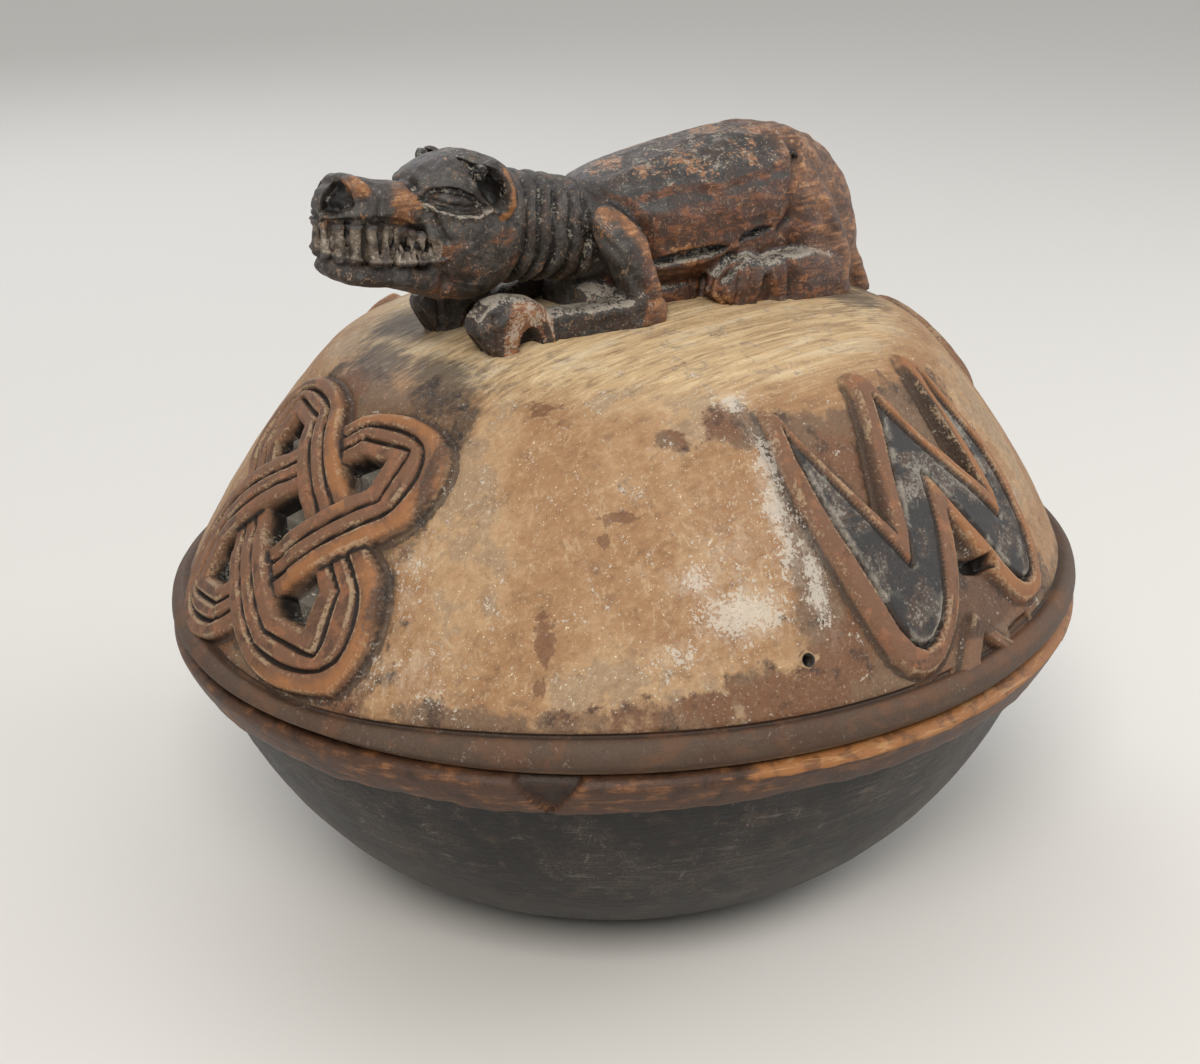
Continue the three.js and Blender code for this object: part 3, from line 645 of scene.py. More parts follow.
@dataclass
class Zigzag(Relief):
    """The zigzag with two round lobes: a ribbon round a dark sunk panel, with the strap that rises below it."""

    half_width: float = 62.0
    half_height: float = 64.0
    middle_rise: float = 46.0
    relief: float = 2.4
    wall: float = 2.6
    groove: float = 1.1
    groove_shift: float = 0.75
    groove_depth: float = 1.9
    slot_depth: float = 6.9
    wedge_depth: float = 1.4
    outer: Outline = field(default_factory=list)
    inner: Outline = field(default_factory=list)

    def __post_init__(self) -> None:
        """Draws the ribbon's two edges, round the left lobe and then round the right one."""
        outer = [(-4.6, 97), (-8.6, 96), (-12, 85), (-16.4, 72), (-20.6, 58), (-24.4, 43.4), (-30.4, 55.6)]
        outer += [(-36.3, 69), (-40.2, 80), (-41.8, 88.5), (-44.6, 91), (-48.6, 78), (-50.3, 60), (-49.2, 44)]
        outer += [(-47.3, 30), (-45, 17), (-42.4, 8), (-38.5, 3.2), (-34, 1.2), (-29.6, 1.4), (-24.6, 3.6)]
        outer += [(-20.4, 6.8), (-16, 11.2), (-11.7, 17), (-8.6, 22.4), (-5.9, 28.4), (-2.8, 36), (0.3, 45)]
        outer += [(2.6, 39.6), (5.2, 34), (8, 28), (11, 22.4), (13.8, 17), (16.8, 12), (20.4, 8), (24.7, 5.6)]
        outer += [(30.6, 4.6), (36.5, 5), (40.6, 7.8), (43.4, 14), (45.2, 25.5), (44.6, 41.7), (40.5, 57)]
        outer += [(34, 70.7), (28.6, 83.3), (25.2, 93), (22.6, 96), (19.8, 93), (19.4, 82), (20.8, 68.5)]
        outer += [(23.1, 54), (26.5, 42.6), (21, 49.4), (15.1, 56.5), (7.6, 66.3), (1.8, 76.4), (-1.4, 87)]
        outer += [(-1.6, 93.4)]
        inner = [(-5.2, 87), (-7.6, 81), (-10.6, 73), (-14, 64), (-17.6, 53.4), (-20.6, 43), (-23.9, 33.6)]
        inner += [(-28.5, 44.2), (-33.8, 56.4), (-38.6, 69.5), (-42.8, 84.5), (-45, 73.7), (-45, 62.3)]
        inner += [(-43.9, 50.3), (-42, 37.5), (-39.8, 26), (-37.4, 16.5), (-34.4, 10.6), (-30.4, 7.8)]
        inner += [(-25.6, 9), (-20, 13.4), (-15.8, 19.4), (-11.6, 29), (-7.8, 39), (-4.8, 48.6), (-2.1, 58)]
        inner += [(0.4, 53), (4.2, 45.6), (7.8, 38.6), (13.3, 28.9), (18.1, 20.4), (22.2, 14.4), (26, 11.2)]
        inner += [(30.1, 9.8), (34.2, 10.2), (37.4, 13), (39.8, 19), (40.8, 28), (40.2, 41.7), (36, 57)]
        inner += [(30, 71.5), (25.4, 84), (23.8, 88), (23.8, 80), (25.4, 69), (27.2, 60), (29, 49), (29.8, 41)]
        inner += [(27.6, 33.6), (23.4, 39.4), (20, 44), (13.2, 52.8), (7, 61.8), (2, 70), (-2.6, 79.5)]
        self.outer, self.inner = self.lowered(outer), self.lowered(inner)

    def lowered(self, corners: Outline) -> Outline:
        """An outline measured from the zigzag's middle in place of from the foot of the flank."""
        return [(s, t - self.middle_rise) for s, t in corners]

    def shapes(self) -> dict[str, Outline]:
        """The recesses above and below the zigzag, the strap with the wedge inside it, and the two slots.

        Returns:
            The corners of each, by name.
        """
        drawn = {
            "left": [(-41, 88), (-24.4, 44), (-9.5, 94), (-14, 100), (-32, 98)],
            "right": [(-1, 93), (2.4, 76), (8, 66), (26.2, 43), (20.4, 92), (12, 99), (3, 98)],
            "lower": [(0.3, 44), (-6.4, 27), (-11.7, 16), (-19, 7), (-8, 4), (8, 3), (19, 5.6), (11, 21), (5.4, 33)],
            "strap": [(-20, -4), (-13, 5), (-8.8, 10), (-6.2, 12.6), (-3.2, 8.2), (3.2, 2.2), (9.4, -3), (12, -5.2)]
            + [(4.9, -5.2), (1.4, -1.6), (-5.2, 4.8), (-10.4, -1.6), (-12.1, -5.2), (-20.2, -5.2)],
            "wedge": [(-5.2, 4.8), (4.5, -5.2), (-12.1, -5.2)],
            "slot_high": [(-1.6, 27.6), (2.4, 28.2), (7.4, 26.2), (12.8, 25.8), (13.4, 21.2), (7.6, 21.4), (0.6, 24.2)],
            "slot_low": [(11.6, 0.6), (16.6, 1.2), (24.4, 1.0), (25, -1.6), (17.4, -2.4), (11.8, -2.2)],
        }
        return {name: self.lowered(corners) for name, corners in drawn.items()}

    def outline(self, s: np.ndarray, t: np.ndarray) -> np.ndarray:
        """Distance outside the zigzag, its recesses and its strap, negative inside.

        Args:
            s: Distance round the lid from the zigzag's middle.
            t: Distance up the lid from its middle.

        Returns:
            The distances.
        """
        out = polygon_distance(s, t, self.outer)
        for corners in self.shapes().values():
            out = np.minimum(out, polygon_distance(s, t, corners))
        return out

    def ground(self, s: np.ndarray, t: np.ndarray, out: np.ndarray) -> np.ndarray:
        """The broad trough cut along the zigzag's outer sides.

        Args:
            s: Distance round the lid from the zigzag's middle; it is not used.
            t: Distance up the lid from its middle.
            out: Distance outside the zigzag's outline.

        Returns:
            How far the ground moves out; it is negative.
        """
        high = smooth(-60.0, 20.0, t)
        trough = np.exp(-((np.maximum(out, 0.0) / 6.5) ** 2))
        return -(0.7 + 1.0 * high) * trough * smooth(-54, -40, t) * smooth(54, 38, t)

    def carve(self, s: np.ndarray, t: np.ndarray) -> tuple[np.ndarray, dict[str, np.ndarray]]:
        """The ribbon, the panel with its grooves, the recesses, the strap and the slots.

        Args:
            s: Distance round the lid from the zigzag's middle.
            t: Distance up the lid from its middle.

        Returns:
            Heights over the uncut dome, and the masks that the finish reads.
        """
        shapes = self.shapes()
        sway = 0.35 * ripple(s, t, 0 * s, 29.0, 2.0)
        out = polygon_distance(s, t, self.outer) + sway
        into = polygon_distance(s, t, self.inner) - sway
        fill = polygon_distance(s - self.groove_shift, t - 0.5 * self.groove_shift, self.inner) + self.groove
        floor = self.ground(s, t, self.outline(s, t))
        m = self.middle_rise
        hollow = np.zeros_like(s)
        rough = 0.3 * ripple(s, t, 0 * s, 6.5, 9.0) + 0.14 * ripple(s, t, 0 * s, 3.1, 4.0)
        for name in ("left", "right"):
            away = -polygon_distance(s, t, shapes[name])
            deep = smooth(101 - m, 50 - m, t)
            beside = np.exp(-((np.maximum(out, 0.0) / 3.6) ** 2)) * smooth(102 - m, 92 - m, t)
            inside = smooth(-1.0, 2.2, away)
            cut = -(2.6 * deep + 1.3 * beside - rough * deep) * inside
            floor = np.minimum(floor, cut)
            hollow = np.maximum(hollow, inside * np.clip(0.25 * deep + beside, 0, 1))
        lower = smooth(1.5, -1.5, polygon_distance(s, t, shapes["lower"]))
        floor = np.minimum(floor, -(0.9 + 2.6 * smooth(6 - m, 34 - m, t)) * lower + 0.5 * rough * lower)
        wedge = smooth(0.8, -0.8, polygon_distance(s, t, shapes["wedge"]))
        floor = floor * (1 - wedge) + wedge * -self.wedge_depth
        strap = polygon_distance(s, t, shapes["strap"]) + 0.5 * sway
        strap_on = smooth(0.8, -0.5, strap)
        foot = np.clip(-(t + m), 0, 9)
        middle = np.clip(1 - np.abs(-strap - 2.0) / 0.8, 0, 1)
        strap_top = 2.3 + 0.1 * foot - 0.7 * np.exp(-np.maximum(-strap, 0) / 0.8) - 0.25 * middle
        height = floor * (1 - strap_on) + strap_top * strap_on
        ribbon = smooth(self.wall - 0.4, -0.4, out)
        top = self.relief - 0.75 * np.exp(-np.maximum(-out, 0) / 0.9) - 0.4 * np.exp(-np.maximum(into, 0) / 0.6)
        top += 0.18 * ripple(s, t, 0 * s, 19.0, 8.0)
        height = height * (1 - ribbon) + top * ribbon
        cut = smooth(0.7, -0.9, into)
        height = height * (1 - cut) - self.groove_depth * cut
        inlay = smooth(0.8, -0.8, fill)
        level = 1.05 - 0.45 * np.exp(-np.maximum(-fill, 0) / 0.9) + 0.22 * ripple(s, t, 0 * s, 27.0, 4.0)
        height = height * (1 - inlay) + (level + 0.1 * ripple(s, t, 0 * s, 7.0, 1.0)) * inlay
        slots = np.zeros_like(s)
        for name in ("slot_high", "slot_low"):
            slots = np.maximum(slots, smooth(0.7, -0.5, polygon_distance(s, t, shapes[name])))
        height = height * (1 - slots) - self.slot_depth * slots
        # The ribbon is painted more rubbed toward the right: wear, and painted light on the side that the light falls
        # on.
        right = smooth(-12.0, 10.0, s)
        masks = {
            "ribbon": np.maximum(ribbon * (1 - cut), strap_on * 0.7) * (1 - slots),
            "dark": np.maximum(cut * (1 - inlay), slots),
            "inlay": inlay,
            # The recesses above and below the zigzag are painted darker, most beside the ribbon: dirt and painted
            # shade.
            "cavity": np.maximum(hollow * 0.75, lower * 0.55),
            "rubbed": ribbon * (1 - cut) * (0.35 + 0.65 * right),
        }
        return height, masks


# The lid's shell and the bowl

# Azimuth in degrees, rise up the flank, half width and half height in millimetres
Spots = tuple[tuple[float, float, float, float], ...]


@dataclass
class Stains:
    """Where use and smoke have coloured the lid, in degrees round the oval and millimetres up the flank."""

    dome: Dome
    kaolin: Spots = ((243.0, 31, 11, 7), (237.5, 42, 6, 4), (250.4, 62, 3.6, 20), (253.5, 38, 3, 14), (248.0, 98, 4, 4))
    haze: Spots = ((200.5, 40, 5, 16), (203.0, 14, 12, 7), (234.0, 20, 10, 6), (243.0, 50, 10, 16))
    # Patches of grime that darken the patina.
    grime: Spots = (
        (254.0, 4, 22, 8), (244.0, 8, 12, 7), (238.0, 5, 11, 5), (210.0, 2, 18, 5), (247.0, 88, 9, 9), (236.0, 86, 6, 4)
    )
    # Dark patches: smoke marks, thin streaks along cracks, and painted shadow on the front shoulder below the animal's
    # forepaws.
    soot: Spots = (
        (193.0, 98, 10, 8), (185.0, 106, 14, 8), (168.0, 102, 18, 8), (150.0, 116, 16, 12), (200.0, 88, 4, 9),
        (199.0, 66, 2.5, 16), (197.0, 28, 2.5, 12)
    )
    rust: Spots = (
        (212.8, 96.5, 4.6, 3.8), (218.6, 33, 3.0, 5.0), (219.4, 24, 2.2, 5.0), (219.2, 13, 1.6, 6.0),
        (225.6, 55, 1.8, 1.8), (228.0, 62, 5.0, 1.6)
    )

    def blobs(self, azimuth: np.ndarray, rise: np.ndarray, spots: Spots, radius: np.ndarray) -> np.ndarray:
        """Soft spots of one kind.

        Args:
            azimuth: Direction of each place in degrees.
            rise: Distance up the flank of each place.
            spots: Azimuth, rise, half width and half height of each spot.
            radius: Distance of each place from the axis, which turns degrees into millimetres.

        Returns:
            The strength of the stain at each place, from 0 to 1.
        """
        total = np.zeros_like(rise)
        for at, up, wide, high in spots:
            off = (azimuth - at) * np.pi / 180 * np.maximum(radius, 60.0) * 0.96
            far = (off / wide) ** 2 + ((rise - up) / high) ** 2
            total = np.maximum(total, np.exp(-0.7 * far))
        return total

    def masks(self, places: np.ndarray) -> dict[str, np.ndarray]:
        """The stains at places on the lid.

        Args:
            places: Rows of x, y and z in millimetres.

        Returns:
            A field from 0 to 1 for each kind of stain.
        """
        x, y = places[:, 0], places[:, 1] / self.dome.form.ratio
        radius = np.hypot(x, y)
        rise = np.interp(-radius, -self.dome.line[:, 0], self.dome.arc)
        azimuth = (np.degrees(np.arctan2(y, x)) - 128.0) % 180.0 + 128.0
        near_knot = np.exp(-(((azimuth - 178) / 23) ** 4)) * smooth(118, 82, rise)
        near_zigzag = smooth(243, 256, azimuth) * smooth(306, 290, azimuth) * smooth(104, 76, rise)
        foot = 0.6 * smooth(13 + 7 * ripple(x, y, 0 * x, 55.0, 3.0), 2, rise)
        patina = np.maximum.reduce([0.92 * near_knot, 0.95 * near_zigzag, foot, 0.10 + 0 * rise])
        patina = np.maximum(patina, 0.9 * self.blobs(azimuth, rise, self.grime, radius))
        clay, haze, soot, rust = (
            self.blobs(azimuth, rise, spots, radius) for spots in (self.kaolin, self.haze, self.soot, self.rust)
        )
        return {
            "patina": patina,
            "kaolin": np.maximum(clay, 0.4 * haze),
            "soot": soot,
            "rust": rust,
            "straw": smooth(92, 116, rise) * smooth(0, 12, rise),
        }


@dataclass
class LidShell:
    """The hollow dome with its grooved rim and the rebate that the bowl's collar stands in."""

    dome: Dome
    reliefs: list[Relief]
    stains: Stains
    steps: int = 400
    step: float = 1.5
    rebate_radius: float = 152.8
    rebate_top: float = 106.8
    sink: float = 8.5
    hole_azimuth: float = 250.3
    hole_rise: float = 14.8
    hole_size: float = 4.2
    lining_wall: float = 0.3
    lining_length: float = 14.0
    drill_length: float = 60.0
    groove_middle: float = 10.8
    ledge_radius: float = 156.2

    def rim(self) -> list[tuple[float, float, float]]:
        """Radius, height and how far each point follows the groove up and down.

        Returns:
            The rim's points, from the groove down to the underside.
        """
        rows = [(155.0, 12.0, 1.0), (154.75, 11.4, 1.0), (154.3, 11.0, 1.0), (154.4, 10.5, 1.0), (155.3, 10.3, 1.0)]
        rows += [(156.4, 10.6, 1.0), (157.2, 10.9, 1.0), (157.9, 10.9, 1.0), (158.8, 10.5, 0.98), (160.0, 9.6, 0.95)]
        rows += [(160.8, 8.4, 0.9), (161.4, 6.8, 0.75), (161.7, 5.2, 0.5), (161.6, 4.2, 0.3), (160.8, 2.8, 0.15)]
        rows += [(159.6, 1.4, 0.0), (158.7, 0.5, 0.0), (157.9, 0.15, 0.0), (157.0, 0.0, 0.0)]
        return [(radius, self.dome.form.split + above, share) for radius, above, share in rows]

    def profile(self) -> Outline:
        """The section from the crown over the flank, round the rim and up the hollow.

        Returns:
            Points of radius and height.
        """
        form = self.dome.form
        arc = np.arange(0.0, self.dome.arc[-1], self.step)
        columns = (np.interp(arc, self.dome.arc, column).tolist() for column in self.dome.line.T)
        outer = list(zip(*columns))
        rim = [(r, z) for r, z, _ in self.rim()]
        lower = [(self.rebate_radius, form.split), (self.rebate_radius, self.rebate_top), (133.0, self.rebate_top)]
        inner = [(132.6, 110.0), (129.5, 130.0), (124.0, 140.0), (116.0, 150.0), (108.0, 160.0), (100.5, 168.5)]
        inner += [(91.0, 176.0), (76.0, 181.5), (55.0, 184.7), (28.0, 186.0), (0.0, 186.2)]
        hollow = softened(lower + inner, 5.0)
        return [(0.0, form.crown)] + outer[::-1] + rim[1:] + hollow

    def groove_drop(self, turn: np.ndarray) -> np.ndarray:
        """How far the groove dips beside the knots, where their lower lobes reach the rim."""
        folded = (np.degrees(turn) - 90.0) % 180.0 + 90.0
        return 5.2 * np.exp(-(((folded - 187.0) / 24.0) ** 2)) + 0.5 * np.sin(3 * turn + 0.6)

    def build(self) -> bpy.types.Object:
        """Spins the section, cuts the ground round the reliefs and sinks the shell beneath them.

        Returns:
            The shell.
        """
        made = piece("lid_shell", turned(self.profile(), self.steps))
        mesh, form, arc = made.data, self.dome.form, self.dome.arc
        flat = coordinates(mesh)
        turn = np.arctan2(flat[:, 1], flat[:, 0])
        drawn, level = np.hypot(flat[:, 0], flat[:, 1]), flat[:, 2]
        radius, height = drawn.copy(), level.copy()
        rise = np.interp(-radius, -self.dome.line[:, 0], arc)
        outside = np.abs(height - np.interp(rise, arc, self.dome.line[:, 1])) < TOUCH
        # The flank, which follows the groove down beside the knots
        drop = self.groove_drop(turn)
        low = rise - drop * smooth(34.0, 0.0, rise)
        at, below = np.clip(low, 0.0, None), np.minimum(low, 0.0)
        run, climb = (np.interp(at, arc, c) for c in self.dome.slope.T)
        base_r = np.interp(at, arc, self.dome.line[:, 0]) + run * below
        base_z = np.interp(at, arc, self.dome.line[:, 1]) + climb * below
        lift = self.lift(turn, np.maximum(low, -20.0), flat)
        radius = np.where(outside, base_r + climb * lift, radius)
        height = np.where(outside, base_z - run * lift, height)
        # The rim, whose upper points follow the groove and whose lower ones stay
        follow = np.zeros_like(rise)
        for r, z, share in self.rim():
            follow = np.where((np.abs(level - z) < TOUCH) & (np.abs(drawn - r) < TOUCH), share, follow)
        follow = np.where(outside, 0.0, follow)
        radius += 0.41 * drop * follow * 0.75
        height -= 0.91 * drop * follow
        places = np.stack([radius * np.cos(turn), radius * form.ratio * np.sin(turn), height], axis=1)
        inside = ~outside & (follow == 0) & (drawn < 153.5)
        still = inside | (level < form.split + 0.05)
        places = np.where(still[:, None], places, form.waver(places))
        places[:, 2] = np.maximum(places[:, 2], form.split)
        move_to(mesh, places * MM)
        masks = self.stains.masks(flat * np.array([1.0, form.ratio, 1.0]))
        masks["patina"] = np.where(outside, masks["patina"], np.where(follow > 0, 1.0, 0.15))
        masks["rim"] = np.where(~outside & ~inside, 1.0, 0.0)
        # A dark line along the rim's groove: dirt and painted shade.
        masks["cavity"] = (~outside & (np.abs(level - form.split - self.groove_middle) < 0.75) & (drawn < 155.6)) * 0.95
        ledge = (level > form.split + 8) & (drawn > self.ledge_radius) & ~outside
        folded = np.degrees(turn) % 180.0
        masks["wear"] = ledge * (0.12 + 0.5 * smooth(66, 84, folded) * smooth(126, 112, folded))
        masks["raw"] = inside * 1.0
        for name, values in masks.items():
            paint(mesh, name, values)
        face_outward(mesh)
        self.drill(made)
        return made

    def lining(self) -> bpy.types.Object:
        """The charred skin of the round hole, a thin tube through the wall.

        Returns:
            The tube.
        """
        place, axis = self.hole_place()
        radius, bottom = self.hole_size / 2, -self.lining_length
        bore = radius - self.lining_wall
        bm = turned([(radius, 0.15), (bore, 0.1), (bore, bottom), (radius, bottom), (radius, 0.15)], 32)
        way = Vector((0, 0, -1)).rotation_difference(axis).to_matrix().to_4x4()
        bmesh.ops.transform(bm, matrix=Matrix.Scale(MM, 4) @ Matrix.Translation(place) @ way, verts=bm.verts[:])
        made = piece("hole_lining", bm)
        face_outward(made.data)
        return made

    def hole_place(self) -> tuple[Vector, Vector]:
        """Where the round hole is on the flank, and the way into the wall.

        Returns:
            The hole's middle on the surface, and the direction of its axis.
        """
        zero = np.array([0.0])
        middle = self.dome.place(self.hole_azimuth, zero, zero + self.hole_rise, zero)[0]
        inward = self.dome.place(self.hole_azimuth, zero, zero + self.hole_rise, zero - 30.0)[0]
        return Vector(middle), Vector(inward - middle).normalized()

    def lift(self, turn: np.ndarray, rise: np.ndarray, flat: np.ndarray) -> np.ndarray:
        """How far the shell stands out from or in from the plain dome.

        Args:
            turn: The direction of each place.
            rise: Its distance up the flank.
            flat: Its place on the unturned round shape.

        Returns:
            The distance out, negative where the ground was cut down.
        """
        x, y = flat[:, 0], flat[:, 1]
        lift = 0.14 * ripple(x, y, flat[:, 2], 17.0, 1.0) + 0.05 * ripple(x, y, flat[:, 2], 5.5, 6.0)
        sunk = np.zeros_like(rise)
        mean = np.interp(np.clip(rise, 0, None), self.dome.arc, self.dome.line[:, 0]) * (1 + self.dome.form.ratio) * 0.5
        for relief in self.reliefs:
            off = (turn - math.radians(relief.azimuth) + math.pi) % (2 * math.pi) - math.pi
            s, t = off * mean, rise - relief.middle_rise
            near = (np.abs(s) < 110) & (rise < 150)
            out = np.full(rise.shape, 99.0)
            out[near] = relief.outline(s[near], t[near])
            ground = np.zeros_like(rise)
            ground[near] = relief.ground(s[near], t[near], out[near])
            lift += ground
            sunk = np.maximum(sunk, smooth(2.4, -1.6, out))
        return lift - self.sink * sunk * smooth(-1.5, 2.0, rise)

    def drill(self, made: bpy.types.Object) -> None:
        """Bores the small round hole through the wall beside the zigzag.

        Args:
            made: The shell.
        """
        middle, axis = self.hole_place()
        bm, radius = bmesh.new(), self.hole_size / 2
        bmesh.ops.create_cone(
            bm, cap_ends=True, segments=24, radius1=radius, radius2=radius, depth=self.drill_length
        )
        way = Vector((0, 0, 1)).rotation_difference(axis).to_matrix().to_4x4()
        bmesh.ops.transform(bm, matrix=Matrix.Scale(MM, 4) @ Matrix.Translation(middle) @ way, verts=bm.verts[:])
        drill = piece("drill", bm)
        cut = made.modifiers.new("hole", "BOOLEAN")
        cut.operation, cut.solver, cut.object = "DIFFERENCE", "EXACT", drill
        apply_modifiers(made)
        bpy.data.objects.remove(drill)


def apply_modifiers(made: bpy.types.Object) -> None:
    """Makes a piece's modifiers part of its mesh.

    Args:
        made: The piece.
    """
    graph = bpy.context.evaluated_depsgraph_get()
    mesh = bpy.data.meshes.new_from_object(made.evaluated_get(graph), depsgraph=graph)
    made.modifiers.clear()
    old, made.data = made.data, mesh
    bpy.data.meshes.remove(old)


@dataclass
class Bowl:
    """The bowl: round wall, flat foot, ragged shoulder under the lip, and the collar that the lid fits over."""

    form: Form
    steps: int = 400
    vee_azimuth: float = 220.8
    vee_half_width: float = 3.7
    vee_point: float = 84.5
    vee_height: float = 12.5
    vee_depth: float = 2.8
    vee_crowding: float = 0.72
    top: float = 98.0

    def profile(self) -> Outline:
        """The section from the middle of the foot up the outside and down the inside.

        Returns:
            Points of radius and height.
        """
        curve = [(58.0, 0.0), (105.0, 4.0), (135.0, 40.2), (150.0, 82.0)]
        outer = [(float(r), float(z)) for r, z in bezier(curve, 70)]
        lip = [(150.7, 83.2), (152.2, 83.7), (154.2, 84.0), (156.0, 84.8), (157.6, 86.6), (159.2, 89.2)]
        lip += [(160.5, 91.8), (161.4, 94.0), (161.7, 95.4), (161.2, 96.6), (160.2, 97.5), (158.8, 97.95)]
        lip += [(157.0, 98.0), (152.0, 98.0), (152.0, 104.6), (151.6, 105.5), (150.6, 106.0), (146.4, 106.0)]
        lip += [(146.0, 105.6), (146.0, 100.0), (144.5, 98.0)]
        inner = bezier([(142.5, 97.0), (138.0, 84.0), (124.0, 50.0), (100.0, 26.0)], 30)
        base = bezier([(100.0, 26.0), (85.0, 14.0), (60.0, 12.0), (0.0, 12.0)], 24)[1:]
        hollow = [(float(r), float(z)) for r, z in np.concatenate([inner, base])]
        return softened([(0.0, 0.0), (57.0, 0.0)], 8.0) + outer + softened(lip, 2.2) + hollow

    def build(self) -> bpy.types.Object:
        """Spins the section and leaves the facets, the ragged shoulder and the chips of carving by eye.

        Returns:
            The bowl.
        """
        made = piece("bowl_shell", turned(self.profile(), self.steps))
        mesh = made.data
        flat = coordinates(mesh)
        turn = np.arctan2(flat[:, 1], flat[:, 0])
        # The columns crowd together at the V, the finest shape on the bowl
        turn = turn - self.vee_crowding * np.sin(turn - math.radians(self.vee_azimuth))
        radius, height, z = np.hypot(flat[:, 0], flat[:, 1]), flat[:, 2].copy(), flat[:, 2]
        wall_r = np.interp(height, [0, 10, 20, 30, 40, 50, 60, 70, 83], [57, 88, 105, 117, 126, 133, 139, 144, 150])
        outer = radius > wall_r - 4
        body = outer & (height < 83.0)
        x, y = radius * np.cos(turn), radius * np.sin(turn)
        facets = 0.35 * ripple(x, y, z * 0.6, 34.0, 3.0) + 0.12 * ripple(x, y, 2.0 * z, 9.0, 7.0)
        grow = np.where(body, facets * smooth(0.0, 6.0, z), 0.0)
        ragged = 0.9 * ripple(x, y, 0 * z, 37.0, 4.0) + 0.5 * ripple(x, y, 0 * z, 11.0, 2.0)
        azimuth = np.degrees(turn) % 360.0
        shoulder = outer & (height > 82.5) & (height < 93.0)
        fall = np.where(shoulder, ragged * smooth(94.0, 85.0, z), 0.0)
        thin = 1.5 * np.exp(-(((azimuth - 252.0) / 26.0) ** 2))
        grow -= np.where(outer & (height > 83.5) & (height < 92.0), 0.5 * thin, 0.0)
        # The V cut into the face of the lip, about 20 mm wide at its top
        half = self.vee_half_width * np.clip((z - self.vee_point) / self.vee_height, 0, 1)
        vee = smooth(0.24, -0.24, np.abs(azimuth - self.vee_azimuth) - half) * (outer & (z > 84.2) & (z < 98.01))
        vee = vee * smooth(153.0, 156.0, radius)
        grow -= self.vee_depth * vee
        bevel = smooth(236.0, 250.0, azimuth) * smooth(318.0, 300.0, azimuth)
        top_edge = outer & (height > 94.5) & (height < 98.01) & (radius > 156.5)
        chipped = bevel * (0.9 + 0.55 * ripple(x, y, 0 * z, 9.0, 8.0) + 0.5 * ripple(x, y, 0 * z, 31.0, 1.0))
        height = np.where(top_edge, height - np.clip(chipped, 0, 3) * smooth(157.0, 160.5, radius), height)
        radius = radius + grow
        places = np.stack([radius * np.cos(turn), radius * self.form.ratio * np.sin(turn), height - fall], axis=1)
        worked = (outer & (z > 0.5) & (radius > 153)) | body
        places = np.where(worked[:, None], self.form.waver(places), places)
        places[:, 2] = np.clip(places[:, 2], 0.0, None)
        places[:, 2] = np.where(outer & (z <= self.top), np.minimum(places[:, 2], self.top), places[:, 2])
        move_to(mesh, places * MM)
        paint(mesh, "lip", (outer & (z > 83.4)) * 1.0)
        paint(mesh, "wear", top_edge * (0.12 + 0.8 * bevel) + (shoulder & (z > 84.2)) * 0.12)
        paint(mesh, "raw", (~outer) * (z > 5) * 1.0)
        # A dark line where the lip overhangs the wall, and the V's inside: painted as dirt and as painted shade.
        paint(mesh, "cavity", np.maximum((outer & (np.abs(z - 83.3) < 0.7)) * 0.8, 0.6 * vee))
        face_outward(mesh)
        return made


# The animal


@dataclass(frozen=True)
class Ring:
    """One cross-section of a limb: its middle, half width, half height and squareness."""

    x: float
    y: float
    z: float
    wide: float
    high: float
    square: float = 2.2


def lofted(rings: list[Ring], sides: int = 28) -> bmesh.types.BMesh:
    """Bridges cross-sections that stand square to the line through their middles.

    Args:
        rings: The cross-sections in order.
        sides: How many corners each has.

    Returns:
        The closed limb.
    """
    bm = bmesh.new()
    middles = [Vector((r.x, r.y, r.z)) for r in rings]
    whole = (middles[-1] - middles[0]).normalized()
    lean = Vector((1, 0, 0)) if abs(whole.z) > 0.6 else Vector((0, 0, 1))
    loops = []
    for i, ring in enumerate(rings):
        along = (middles[min(i + 1, len(rings) - 1)] - middles[max(i - 1, 0)]).normalized()
        side = along.cross(lean).normalized()
        up = side.cross(along)
        made = bmesh.ops.create_circle(bm, cap_ends=i in (0, len(rings) - 1), segments=sides, radius=1.0)["verts"]
        for vert in made:
            across, rise = vert.co.x, vert.co.y
            power = 2.0 / ring.square
            across = math.copysign(abs(across) ** power, across) * ring.wide
            rise = math.copysign(abs(rise) ** power, rise) * ring.high
            vert.co = middles[i] + side * across + up * rise
        found = {e for v in made for e in v.link_edges if all(w in made for w in e.verts)}
        loops.append(list(found))
    for one, two in zip(loops, loops[1:]):
        bmesh.ops.bridge_loops(bm, edges=one + two)
    bmesh.ops.recalc_face_normals(bm, faces=bm.faces[:])
    return bm


def limb(rows: list[tuple[float, ...]], side: int = 1, sides: int = 28) -> bmesh.types.BMesh:
    """A limb through rows of x, y, z, half width, half height and squareness.

    Args:
        rows: The cross-sections in order, drawn for the far side.
        side: -1 to make it for the near side.
        sides: How many corners each has.

    Returns:
        The closed limb.
    """
    return lofted([Ring(x, side * y, *rest) for x, y, *rest in rows], sides)


